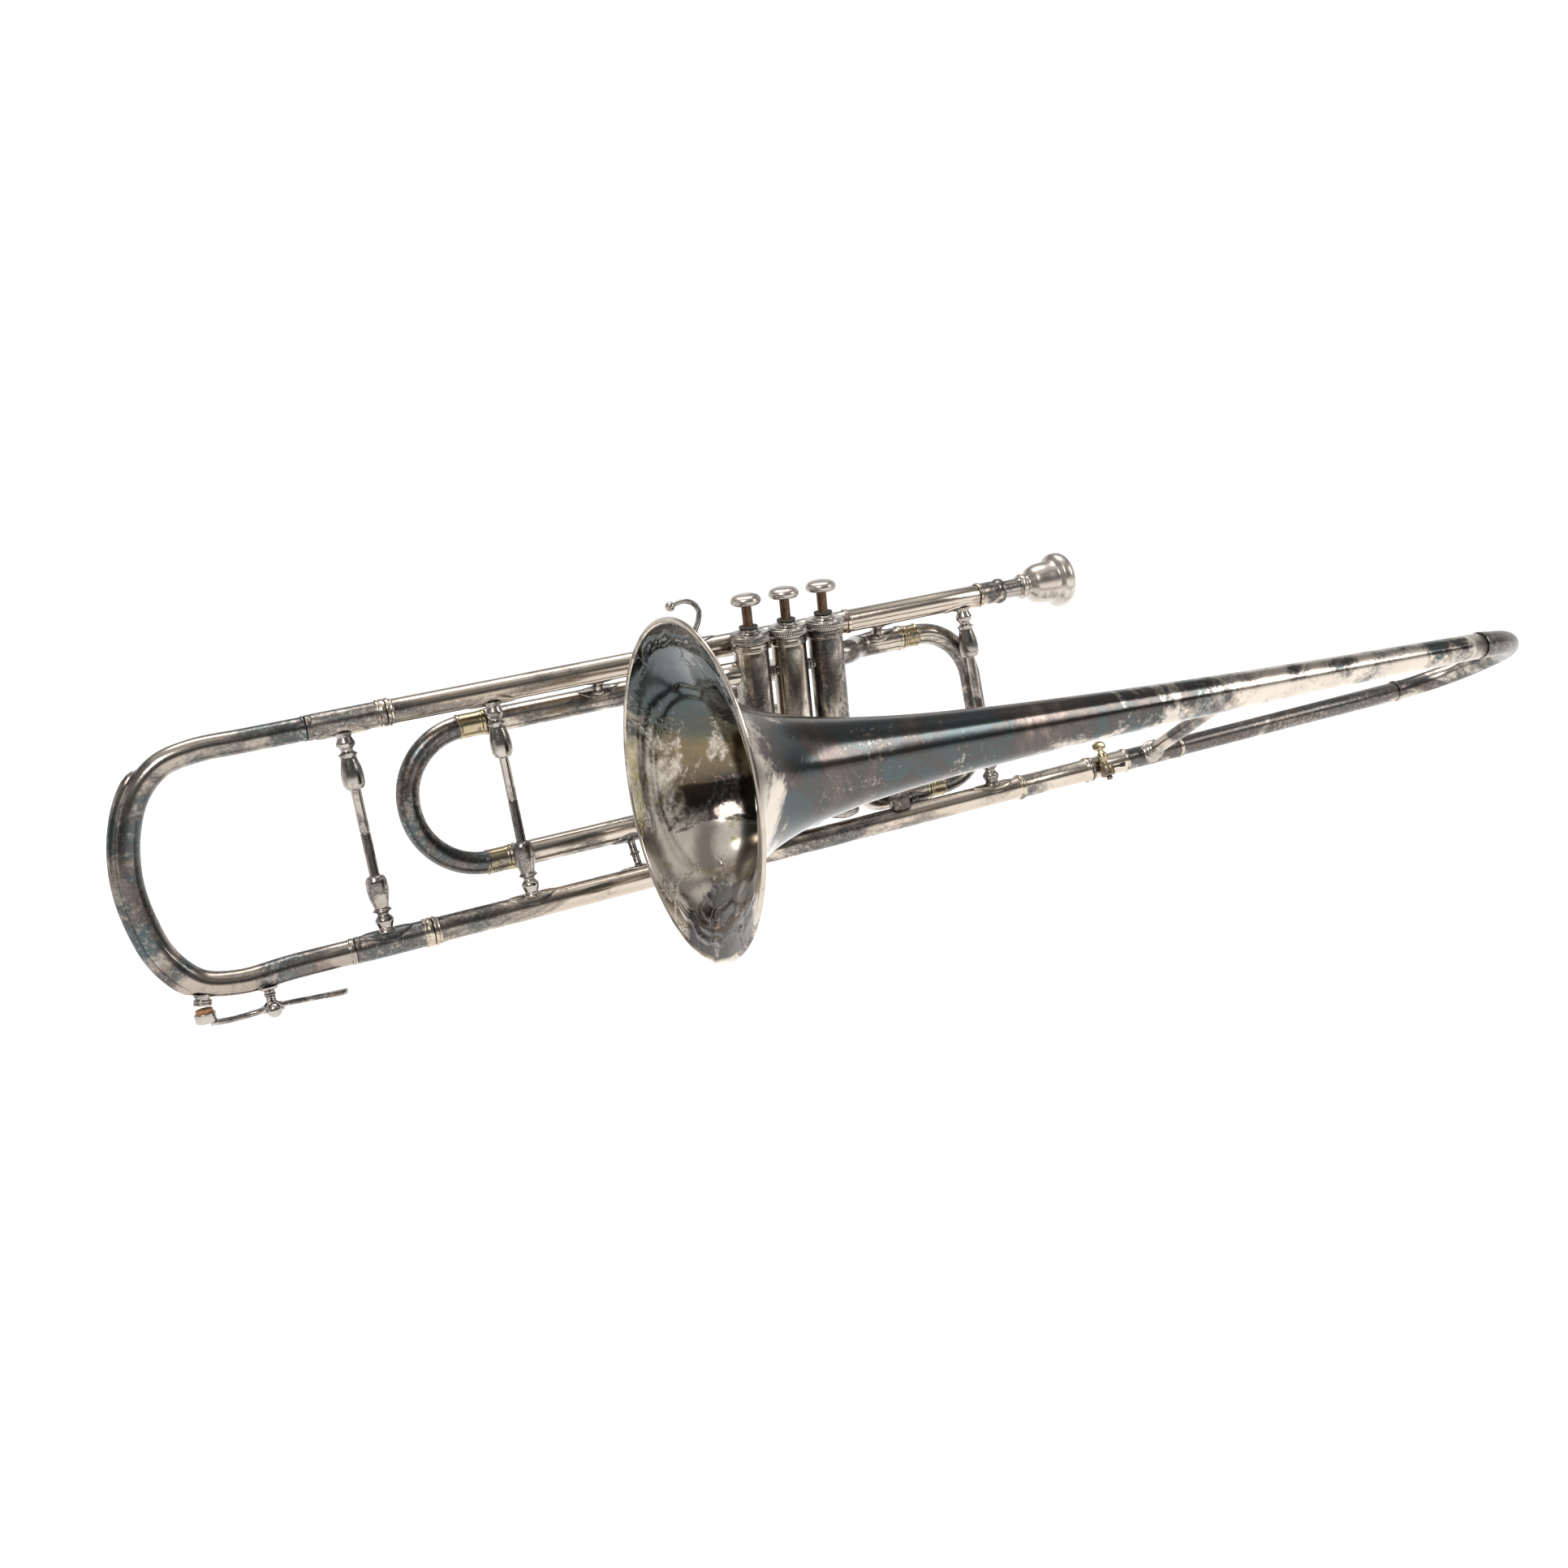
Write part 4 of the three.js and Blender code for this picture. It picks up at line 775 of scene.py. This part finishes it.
# ---------------------------------------------------------------- finger hook
hook = spline([(-63, -1, 153.8), (-59, -1, 155), (-54, -1, 155.2), (-48.6, -1, 152.6), (-46.4, -1, 147.8),
               (-48, -1, 142), (-51, -0.5, 136.5), (-52, 0, 130)])
hook_length = path_length(hook)
pipe("hook_wire", hook,
     [(0, 1.5), (12, 1.55), (hook_length - 7, 1.7), (hook_length - 3, 2.4), (hook_length, 4.2)],
     [fitting_silver], "horn_body", ["finger_hook"], sides=24, step=0.8)
turned("hook_ball", ball(3.0, -3.0), (-63.6, -1, 153.6), Z, [fitting_silver], "horn_body", sides=32)
saddle("hook_leaf", -52, 0, UPPER_Z, 6.9, (-0.1, 1), 26, 48, "horn_body")

# ---------------------------------------------------------------- main tuning slide
for name, z, leg, bore, outer in (("main_slide_leg_upper", UPPER_Z, 6.0, 5.4, 7.2),
                                  ("main_slide_leg_lower", 0, 6.4, 5.7, 7.6)):
    on_x(
        name + "_skin",
        hollow(
            [(outer - 0.3, SLEEVE_FRONT_X), (outer, -280.6), (outer, -278.4), (outer - 0.25, -278.2),
             (outer - 0.25, -277.8), (outer, -277.6), (outer, -243.4),
             (outer + 0.8, -242.8), (outer + 0.9, -241.8), (outer + 0.3, -241.2), (outer + 0.8, -240.4),
             (outer + 0.8, -238.3), (leg, -238.3), (leg, -166)],
            [(bore, SLEEVE_FRONT_X), (bore, -166)],
        ),
        0, z, [upper_silver if z else lower_silver, ring_silver, fitting_silver], "main_slide", [name],
        bands=[(-243.3, -238.2, 1), (-238.2, -160, 2)],
    )

bow_points = [(-281.3, UPPER_Z), (-312, UPPER_Z), (-340, 124.8), (-357.5, 120.6), (-371, 108.5), (-380, 89),
              (-384, 65), (-382, 42), (-375.5, 20.5), (-362, 4.5), (-343, -0.8), (-315, 0), (-281.3, 0)]
bow = spline([(x, 0, z) for x, z in bow_points])
bow_length = path_length(bow)
pipe(
    "front_bow_skin", bow,
    [(0, 6.7), (0.4, 7.1), (1.4, 7.1), (1.8, 6.65), (bow_length * 0.5, 6.75), (bow_length - 3, 7.1),
     (bow_length - 2.6, 7.6), (bow_length - 0.6, 7.6), (bow_length, 7.2)],
    [bow_silver, ring_silver], "main_slide", ["front_bow"], bore=5.6, sides=56,
)
guard = []
for i in range(40):
    share = 0.293 + 0.428 * i / 39
    point, tangent = at_lengths(bow, [bow_length * share])[0]
    guard.append(point + Vector((tangent.z, 0, -tangent.x)) * 6.2)
guard_length = path_length(guard)
pipe("guard_rail", guard,
     [(0, 0.6), (2, 2.0), (5, 3.1), (9, 3.6), (guard_length - 9, 3.6), (guard_length - 5, 3.1),
      (guard_length - 2, 2.0), (guard_length, 0.6)],
     [bow_silver], "main_slide", ["bow_guard"], sides=36)
NIPPLE = Vector((-361.5, 0, 2))
down = Vector((-2, 0, -10.2)).normalized()
turned("water_nipple",
       [(0, 4), (4.9, 4), (4.6, 5.6), (4.1, 6.4), (4.1, 7.2), (5.0, 7.6), (5.0, 8.4), (4.3, 8.7), (5.0, 9.0),
        (5.0, 10.3), (2.2, 10.3), (2.2, 5.5), (0, 5.5)],
       NIPPLE, down, [fitting_silver], "main_slide", sides=40, reach=0.2)
PIVOT_X = -329.4
PIVOT_Z = -18.5
turned("water_key_post",
       [(0, 6.6), (5.6, 6.8), (5.2, 8.2), (3.4, 9.0), (2.9, 10.2), (3.4, 11.4), (2.7, 12.4), (2.6, -PIVOT_Z),
        (0, -PIVOT_Z)],
       (PIVOT_X, 0, 0), -Z, [fitting_silver], "main_slide", ["water_key_bracket"], sides=40, reach=0.3)
turned("water_key_pin",
       [*ball(4.2, -14.2)[:-2], (1.9, -6.4), (1.9, -6.0), (1.6, -5.6), (1.6, 5.2), (2.4, 5.8), (1.9, 6.2),
        (0, 6.4)],
       (PIVOT_X, 0, PIVOT_Z), Y, [fitting_silver], "main_slide", sides=28, reach=0.2)


# ---------------------------------------------------------------- water key lever
def plate(name, outline, thickness, materials, body, nodes=(), dome=0.0):
    """A strip along x from (x, z, half width) stations with rounded edges."""
    rings = []
    for x, z, half in outline:
        ring = []
        for k in range(20):
            angle = 2 * math.pi * k / 20
            c, s = math.cos(angle), math.sin(angle)
            y = half * math.copysign(abs(c) ** 0.7, c)
            rise = thickness / 2 * math.copysign(abs(s) ** 0.5, s) + dome * (1 - (y / max(half, 0.1)) ** 2)
            ring.append(Vector((x, y, z + rise)))
        rings.append(ring)
    points, faces = skin(rings)
    return add_piece(name, points, faces, materials, body, nodes, sharp=60)


plate("lever_arm",
      [(-362, -18.4, 2.0), (-358, -18.9, 2.6), (-352, -19.4, 2.6), (-345, -19.5, 2.6), (-338, -19.2, 2.8),
       (-335, -18.8, 4.2), (-333.8, -18.6, 5.2)],
      3.2, [fitting_silver], "water_key", ["water_key_lever"])
plate("lever_leaf",
      [(-325.0, -18.4, 5.2), (-323.8, -18.5, 4.0), (-320, -18.7, 2.6), (-312, -19.3, 2.2), (-304, -19.8, 3.0),
       (-298, -20.2, 4.4), (-293.9, -20.4, 4.7), (-290.9, -20.5, 3.2), (-289.4, -20.5, 0.8)],
      2.8, [fitting_silver], "water_key", dome=0.3)
for side in (-1, 1):
    turned("lever_knuckle_" + ("near" if side < 0 else "far"),
           hollow([(3.4, 3.5), (3.8, 3.8), (3.8, 4.9), (3.4, 5.3)], [(1.9, 3.5), (1.9, 5.3)]),
           (PIVOT_X, 0, PIVOT_Z), (0, side, 0), [fitting_silver], "water_key", sides=36, reach=0.2)
    plate_y = side * 4.4
    rings = []
    for x, low, high in ((-5.5, -1.6, 0.4), (-3, -2.4, 1.8), (0, -2.8, 2.4), (3, -2.4, 1.8), (5.5, -1.6,
                                                                                              0.4)):
        x, low, high = PIVOT_X + x, PIVOT_Z + low, PIVOT_Z + high
        rings.append([Vector((x, plate_y - 0.8, low)), Vector((x, plate_y + 0.8, low)),
                      Vector((x, plate_y + 0.8, high)), Vector((x, plate_y - 0.8, high))])
    cheek_points, cheek_faces = skin(rings)
    add_piece("lever_cheek_" + ("near" if side < 0 else "far"), cheek_points, cheek_faces, [fitting_silver],
              "water_key")
turned("pad_cup",
       [(0, -18.2), (4.6, -18.0), (5.6, -17.2), (5.8, -12.6), (5.4, -12.2), (4.75, -12.2), (4.75, -14),
        (0, -14)],
       (NIPPLE.x - 2, 0, 0), Z, [fitting_silver], "water_key", sides=40, reach=0.3)
turned("pad_cork", [(0, -13.8), (4.5, -13.8), (4.6, -12), (4.5, -10.1), (0, -10.0)],
       (NIPPLE.x - 2, 0, 0), Z, [cork], "water_key", ["water_key_cork"], "cork", sides=40, reach=0.5)

# ---------------------------------------------------------------- mouthpiece
on_x(
    "mouthpiece_skin",
    hollow(
        [(5.2, 138), (5.7, 161), (5.9, 172.6), (6.0, 174.4), (7.4, 175.0), (8.0, 175.9), (8.1, 177.3),
         (7.6, 178.5), (6.4, 179.1), (6.1, 179.9), (7.2, 181.0), (9.2, 182.4), (11.0, 184.2),
         (12.2, 186.8), (12.9, 190.2), (13.2, 194.0), (13.3, 197.0), (13.8, 198.8), (15.4, 200.0),
         (16.8, 201.2), (17.4, 202.8), (17.5, 205.0), (17.0, 207.2), (16.0, 208.4), (14.6, 208.6)],
        [(3.8, 138), (3.3, 183), (5.4, 187.6), (10, 194.1), (12.1, 201.1), (12.8, 206.4), (13.5, 208.2)],
    ),
    0, UPPER_Z, [button_silver, fitting_silver], "mouthpiece", ["mouthpiece"], sides=80,
    bands=[(130, 174.4, 1)],
)

# ---------------------------------------------------------------- bell section
BELL_MOUTH = Vector((-113, -116, 57.8))
BELL_RADIUS = 90
BELL_AXIS = Vector((1, 0.0436, -0.05)).normalized()
BELL_LENGTH = 579


def bell_radius(s):
    return BELL_RADIUS * (1 + max(s, 0) / 13.6) ** -0.62


def crease(angle, depth):
    """Height of the dents and folds that follow the rim; depth is the length in from the rim."""
    wobble = 1.6 * math.sin(7 * angle + 0.6) + 1.1 * math.sin(17 * angle) + 0.6 * math.sin(31 * angle + 2)
    total = 0.0
    for centre, width, start, end, height in FOLDS:
        across = (angle - start) / (end - start)
        if 0 <= across <= 1:
            fade = min(1, across / 0.12, (1 - across) / 0.12)
            total += height * fade * math.exp(-(((depth - centre - wobble) / width) ** 2))
    dents = 0.5 * math.sin(3 * angle + 1) * math.exp(-(((depth - 26) / 12) ** 2))
    return total + dents * 0.6


# Each fold is (distance in from the rim, width, start angle, end angle, height), with angles round the bell.
FOLDS = [
    (9.0, 0.9, 3.5, 5.4, 1.5), (11.4, 0.8, 3.6, 5.2, -1.2), (11.5, 0.9, 0.9, 2.7, 1.4),
    (14.0, 0.8, 1.0, 2.6, -1.1), (24.0, 0.8, 1.2, 2.3, 0.9), (27.0, 0.8, 4.2, 5.1, 0.8),
]


def bell_stations():
    stations = []
    s = 0.0
    while s < BELL_LENGTH:
        stations.append(s)
        if s < 30:
            s += 0.35 + s * 0.022
        else:
            s += 1.4 + (s - 30) * 0.03
    stations.append(BELL_LENGTH)
    return stations


bell_axis, bell_side, bell_other = frame_of(BELL_AXIS)
SIDES = 224
outer_rings = []
inner_rings = []
for s in bell_stations():
    radius = bell_radius(s)
    depth = (BELL_RADIUS - radius) + s * 0.6
    outer_ring = []
    inner_ring = []
    for k in range(SIDES):
        angle = 2 * math.pi * k / SIDES
        spoke = bell_side * math.cos(angle) + bell_other * math.sin(angle)
        lift = crease(angle, depth)
        centre = BELL_MOUTH + bell_axis * (s - lift * 0.7)
        outer_ring.append(centre + spoke * (radius + lift * 0.5))
        inner_ring.append(centre + bell_axis * -0.5 + spoke * (radius - 0.8 + lift * 0.5))
    outer_rings.append(outer_ring)
    inner_rings.append(inner_ring)
RIM_STEPS = 14
rim_rings = []
for i in range(1, RIM_STEPS):
    turn = math.pi * (0.02 + 1.15 * i / RIM_STEPS) - 0.2
    ring = []
    for k in range(SIDES):
        angle = 2 * math.pi * k / SIDES
        spoke = bell_side * math.cos(angle) + bell_other * math.sin(angle)
        centre = BELL_MOUTH + bell_axis * (0.7 - 1.8 * math.sin(turn))
        ring.append(centre + spoke * (BELL_RADIUS - 0.9 + 1.8 * math.cos(turn)))
    rim_rings.append(ring)


def bell_material(name, inside):
    """Tarnish of the bell: dark and glossy, with straw, olive, teal and violet films and bare patches;
    inside, the top is also painted darker as a painted reflection of dark surroundings.
    """
    material, tree, shader, where = node_tree(name)
    shader.inputs["Metallic"].default_value = 1.0
    split = tree.nodes.new("ShaderNodeSeparateXYZ")
    tree.links.new(where, split.inputs["Vector"])
    patch = noise(tree, where, 17, 9, 0.62, 1.0, (4, 1, 7))
    grain = noise(tree, where, 380, 5, 0.7, 0, (1, 1, 1))
    film = noise(tree, where, 22, 9, 0.68, 0.5, (9, 3, 3))
    film = grain_added(tree, film, grain, 0.14)
    mottled = grain_added(tree, patch, grain, 0.2)
    wander = noise(tree, where, 11, 6, 0.6, 0.8, (3, 8, 5))
    if inside:
        height = maths(tree, "ADD", grain_added(tree, split.outputs["Z"], wander, 0.17), 0.10)
        height = maths(tree, "MULTIPLY", height, 4.5)
        # Inside, the colour follows height: the top is painted dark teal-grey as a painted reflection of dark
        # surroundings, over gold and olive tarnish films in the middle.
        films_and_painted_reflection = ramp(tree, height, ((0.0, (0.075, 0.070, 0.068)), (0.28, (0.065, 0.052, 0.044)),
                                    (0.38, (0.052, 0.042, 0.036)), (0.46, (0.135, 0.102, 0.060)),
                                    (0.54, (0.080, 0.078, 0.058)), (0.62, (0.042, 0.060, 0.062)),
                                    (1.0, (0.036, 0.048, 0.052))))
        films_and_painted_reflection = mix(tree, ramp(tree, film, ((0.40, 0.0), (0.66, 0.6))), films_and_painted_reflection, (0.060, 0.052, 0.048))
        pale_low = ramp(tree, height, ((0.10, 0.38), (0.18, 0.72), (0.28, 0.74), (0.34, 0.28), (0.50, 0.20),
                                       (1.0, 0.12)))
        left = ramp(tree, maths(tree, "MULTIPLY", maths(tree, "ADD", split.outputs["Y"], 0.2), 5.0),
                    ((0.42, 0.0), (0.85, 0.26)))
        level = grain_added(tree, maths(tree, "ADD", pale_low, left), mottled, 1.0)
        mask = maths(tree, "SUBTRACT", 1.0, ramp(tree, level, ((0.46, 0.0), (0.58, 1.0))))
        bare = ramp(tree, film, ((0.35, (0.36, 0.32, 0.28)), (0.57, (0.48, 0.43, 0.37)),
                                 (0.62, (0.33, 0.28, 0.14)), (0.68, (0.38, 0.34, 0.27))))
        shine, dull = 0.10, 0.17
    else:
        along = maths(tree, "ADD", grain_added(tree, split.outputs["X"], wander, 0.17), 0.2)
        pale_far = ramp(tree, along, ((0.07, 0.60), (0.12, 0.48), (0.16, 0.24),
                                     (0.25, 0.28), (0.32, 0.40), (0.45, 0.48)))
        level = grain_added(tree, pale_far, mottled, 1.0)
        mask = maths(tree, "SUBTRACT", 1.0, ramp(tree, level, ((0.40, 0.0), (0.50, 1.0))))
        films_and_painted_reflection = ramp(tree, film, ((0.30, (0.056, 0.068, 0.071)), (0.42, (0.066, 0.080, 0.082)),
                                  (0.49, (0.072, 0.067, 0.063)), (0.57, (0.105, 0.086, 0.078)),
                                  (0.68, (0.210, 0.165, 0.140))))
        bare = ramp(tree, film, ((0.3, (0.42, 0.37, 0.32)), (0.6, (0.55, 0.49, 0.42)),
                                 (0.8, (0.44, 0.35, 0.31))))
        shine, dull = 0.17, 0.24
    flecks = ramp(tree, grain_added(tree, grain, patch, 0.9), ((0.62, 0.0), (0.74, 0.55)))
    films_and_painted_reflection = mix(tree, flecks, films_and_painted_reflection, (0.36, 0.31, 0.27))
    # The tarnished colour holds the films, and inside the bell also the painted reflection that darkens the
    # top.
    tree.links.new(mix(tree, mask, bare, films_and_painted_reflection), shader.inputs["Base Color"])
    roughness_between(tree, shader, maths(tree, "ADD", mask, maths(tree, "MULTIPLY", grain, 0.3)), dull,
                      shine)
    waves = noise(tree, where, 34, 3, 0.5, 0.6, (2, 2, 2))
    cracks = tree.nodes.new("ShaderNodeTexVoronoi")
    cracks.feature = "DISTANCE_TO_EDGE"
    cracks.inputs["Scale"].default_value = 30
    warped = tree.nodes.new("ShaderNodeVectorMath")
    warped.operation = "ADD"
    tree.links.new(where, warped.inputs[0])
    shake = tree.nodes.new("ShaderNodeTexNoise")
    shake.inputs["Scale"].default_value = 60
    shake.inputs["Detail"].default_value = 4
    small = tree.nodes.new("ShaderNodeVectorMath")
    small.operation = "SCALE"
    small.inputs["Scale"].default_value = 0.03
    tree.links.new(where, shake.inputs["Vector"])
    tree.links.new(shake.outputs["Color"], small.inputs[0])
    tree.links.new(small.outputs["Vector"], warped.inputs[1])
    tree.links.new(warped.outputs["Vector"], cracks.inputs["Vector"])
    line = ramp(tree, cracks.outputs["Distance"], ((0.0, 1.0), (0.035, 0.0)))
    gate = ramp(tree, noise(tree, where, 22, 2, 0.5, 0, (6, 6, 1)), ((0.50, 0.0), (0.56, 1.0)))
    scar = maths(tree, "MULTIPLY", line, gate)
    strength = 0.9 if inside else 0.15
    height = maths(tree, "ADD", maths(tree, "MULTIPLY", waves, 1.2), maths(tree, "MULTIPLY", scar, strength))
    bump(tree, shader, height, 0.32 if inside else 0.2, 0.0006)
    return material


bell_out = bell_material("silver_bell_outside", False)
bell_in = bell_material("silver_bell_inside", True)
rim_bright = tarnished("silver_rim", 0.26, PALE, DARK, 40, (7, 7, 1), shine=0.14, dull=0.3)
rings = outer_rings[::-1] + rim_rings + inner_rings
bell_points, bell_faces = skin(rings, loop=True)
outer_count = len(outer_rings) * SIDES
rim_count = len(rim_rings) * SIDES


def bell_part(centre, face):
    """Index of the outside, rim or inside material, from the order in which the rings were made."""
    if max(face) < outer_count:
        return 0
    return 1 if min(face) < outer_count + rim_count else 2


add_piece("bell_skin", bell_points, bell_faces, [bell_out, rim_bright, bell_in], "bell_section", ["bell"],
          sharp=180, choose=bell_part)

on_x(
    "gooseneck_skin",
    hollow(
        [(6.0, 164), (6.0, 204.2), (7.9, 204.4), (8.2, 205.0), (8.2, 206.0), (7.6, 206.6), (7.6, 216),
         (7.6, 231.8), (8.1, 232.4), (8.3, 233.2), (7.9, 234), (7.15, 234.6), (7.1, 262), (7.1, 277.4),
         (7.6, 277.8), (7.6, 279.2), (6.6, 280), (6.6, 300), (6.7, 400), (6.95, 474)],
        [(5.3, 164), (5.3, 204), (5.9, 280), (6.1, 474)],
    ),
    0, REAR_Z, [neck_silver, ring_silver, tail_silver], "bell_section", ["gooseneck"],
    bands=[(231.9, 234.2, 1), (206.4, 231.8, 2), (277.2, 279.6, 1)],
)
screw_start = Vector((211, -14.8, -10.6))
screw_axis = Vector((0, 0.32, 0.947)).normalized()
turned("clamp_drum",
       hollow([(4.3, 2.7), (4.7, 3.1), (4.7, 8.9), (4.3, 9.3)], [(1.9, 2.7), (1.9, 9.3)]),
       screw_start, screw_axis, [brass_ring], "bell_section", sides=48, reach=0.2)
turned("thumb_screw",
       [(0, -0.2), (1.2, 0), (2.1, 0.7), (2.3, 1.5), (1.5, 2.3), (1.5, 9.5), (3.7, 9.6), (3.9, 10.1),
        (3.7, 10.7), (2.2, 11.4), (2.2, 12.4), (3.0, 13.8), (3.7, 15.8), (3.4, 17.8), (2.2, 19.4),
        (1.5, 20.4), (1.6, 22), (0, 22.2)],
       screw_start, screw_axis, [brass_ring], "lock_screw", ["lock_screw"], "raw_brass", sides=44, reach=0.2)
wing_rings = []
_, wing_side, _ = frame_of(screw_axis)
for i in range(13):
    t = -0.9 + 1.8 * i / 12
    half = 1.1 * math.sqrt(max(0.02, 1 - t * t)) + 0.25
    reach = 5.4 * t
    width = 3.4 * math.sqrt(max(0.03, 1 - (t * 0.97) ** 2))
    ring = []
    for k in range(20):
        angle = 2 * math.pi * k / 20
        centre = screw_start + screw_axis * (23.6 + width * math.sin(angle)) + X * reach
        ring.append(centre + wing_side * (half * 0.8 * math.cos(angle)))
    wing_rings.append(ring)
wing_points, wing_faces = skin(wing_rings)
add_piece("thumb_wing", wing_points, wing_faces, [brass_ring], "lock_screw", sharp=70)

# The slit of the clamp collar: a thin strip of painted shadow along the front, standing in for the shade in
# the gap, with a round notch at its end.
slit_rings = []
for x in (206.8, 207.2, 224.0, 226.6, 229.2, 229.6):
    wide = 0.10 if 207 < x < 225 else (0.2 if 225 < x < 229.4 else 0.02)
    ring = []
    for a, r in ((-wide, 7.4), (-wide, 7.68), (0, 7.7), (wide, 7.68), (wide, 7.4), (0, 7.3)):
        angle = math.pi + 0.15 + a
        ring.append(Vector((x, r * math.cos(angle), REAR_Z + r * math.sin(angle))))
    slit_rings.append(ring)
slit_points, slit_faces = skin(slit_rings)
add_piece("collar_slit", slit_points, slit_faces, [painted_slit_shadow], "bell_section")

tail = BELL_MOUTH + BELL_AXIS * (BELL_LENGTH + 0.6)
neck = Vector((474.3, 0, REAR_Z))
across = tail - neck
across.x = 0
half_width = across.length / 2
across.normalize()
tip = (neck + tail) / 2
tip.x = 474 + 49
rear = cubic(neck, neck + X * 27.06, tip - across * (half_width * 0.5523), tip, 30)
rear += cubic(tip, tip + across * (half_width * 0.5523), tail + BELL_AXIS * 30.38, tail, 30)[1:]
rear_length = path_length(rear)
tail_radius = bell_radius(BELL_LENGTH)
pipe(
    "rear_bow_skin", rear,
    [(0, 7.2), (0.4, 7.9), (1.6, 7.9), (2.0, 7.3), (7, 7.3), (7.5, 7.0),
     (rear_length - 7.5, tail_radius - 0.05), (rear_length - 7, tail_radius + 0.35), (rear_length - 1.6,
                                                                                      tail_radius + 0.4),
     (rear_length - 1.2, tail_radius + 0.8), (rear_length, tail_radius + 0.5)],
    [neck_silver], "bell_section", ["rear_bow"], sides=56, bore=6.0,
)

# ---------------------------------------------------------------- bell brace
BRACE_ALONG = 371
brace_point = Vector((252, 0, REAR_Z))
bell_point = BELL_MOUTH + BELL_AXIS * BRACE_ALONG
brace_length = (bell_point - brace_point).length
end_radius = bell_radius(BRACE_ALONG)
turned(
    "bell_brace_skin",
    [(0, 5), (7.2, 5.2), (7.4, 6.2), (7.2, 8.4), (6.4, 9.0), (5.2, 9.5), (5.6, 10.2), (6.6, 10.8), (6.6,
                                                                                                    11.6),
     (5.6, 12.1), (5.2, 12.6), (5.9, 13.2), (5.9, 14.0), (4.7, 14.8), (4.6, 20), (4.6, brace_length - 24),
     (5.0, brace_length - 20), (6.2, brace_length - 15), (7.6, brace_length - end_radius - 1.6),
     (8.2, brace_length - end_radius), (0, brace_length - end_radius + 2)],
    brace_point, bell_point - brace_point, [neck_silver, fitting_silver], "bell_section", ["bell_brace"],
    sides=56, bands=[(4, 14.6, 1)],
)

# ---------------------------------------------------------------- room, light and camera
floor_mesh = bpy.data.meshes.new("floor")
FLOOR_Z = -0.30
SPAN = 14
corners = ((-1, -1), (1, -1), (1, 1), (-1, 1))
floor_mesh.from_pydata([(SPAN * x, SPAN * y, FLOOR_Z) for x, y in corners], [], [(0, 1, 2, 3)])
floor = bpy.data.objects.new("floor", floor_mesh)
scene.collection.objects.link(floor)
floor_paint = bpy.data.materials.new("pale_floor")
floor_paint.use_nodes = True
floor_shader = floor_paint.node_tree.nodes["Principled BSDF"]
floor_shader.inputs["Base Color"].default_value = (0.93, 0.93, 0.925, 1)
floor_shader.inputs["Roughness"].default_value = 0.9
floor_shader.inputs["Emission Color"].default_value = (1, 1, 1, 1)
floor_shader.inputs["Emission Strength"].default_value = 0.55
floor_mesh.materials.append(floor_paint)

world = bpy.data.worlds.new("studio")
scene.world = world
world.use_nodes = True
sky = world.node_tree
background_node = sky.nodes["Background"]
direction = sky.nodes.new("ShaderNodeTexCoord").outputs["Generated"]
parts = sky.nodes.new("ShaderNodeSeparateXYZ")
sky.links.new(direction, parts.inputs["Vector"])
ceiling = ramp(sky, parts.outputs["Z"], ((0.0, 1.0), (0.50, 1.0), (0.60, 0.35), (0.74, 0.30), (0.84, 1.0)))
behind = ramp(sky, maths(sky, "MULTIPLY", parts.outputs["Y"], -1.0), ((0.05, 0.0), (0.40, 1.0)))
level = ramp(sky, maths(sky, "ABSOLUTE", parts.outputs["Z"], 0.0), ((0.42, 1.0), (0.62, 0.0)))
dim = maths(sky, "MULTIPLY", behind, level)
shade = mix(sky, dim, ceiling, (0.16, 0.16, 0.16))
sky.links.new(shade, background_node.inputs["Color"])
background_node.inputs["Strength"].default_value = 1.05


def softbox(name, place, target, width, height, energy):
    light = bpy.data.lights.new(name, "AREA")
    light.shape = "RECTANGLE"
    light.size = width
    light.size_y = height
    light.energy = energy
    lamp = bpy.data.objects.new(name, light)
    lamp.location = place
    lamp.rotation_euler = (Vector(target) - Vector(place)).to_track_quat("-Z", "Y").to_euler()
    scene.collection.objects.link(lamp)


softbox("key", (-1.1, -1.5, 1.5), (0, 0, 0), 0.7, 0.7, 26)
softbox("fill", (1.7, -1.3, 0.9), (0, 0, 0), 0.5, 1.0, 12)
softbox("top", (0.1, 0.3, 2.0), (0, 0, 0), 1.8, 0.7, 22)

camera_data = bpy.data.cameras.new("camera")
camera_data.sensor_width = 36
camera_data.lens = 35.59
camera_data.clip_start = 0.01
camera_data.clip_end = 60
camera = bpy.data.objects.new("camera", camera_data)
right = Vector((0.90243818, -0.3901234, -0.18278147))
down_way = Vector((-0.2150469, -0.0402779, -0.97577278))
forward = Vector((0.37330974, 0.9198812, -0.12024314))
turn = Matrix((right, -down_way, -forward)).transposed().to_4x4()
camera.matrix_world = Matrix.Translation((-0.366308, -0.864901, 0.079205)) @ turn
scene.collection.objects.link(camera)
scene.camera = camera
scene.view_settings.view_transform = "Standard"
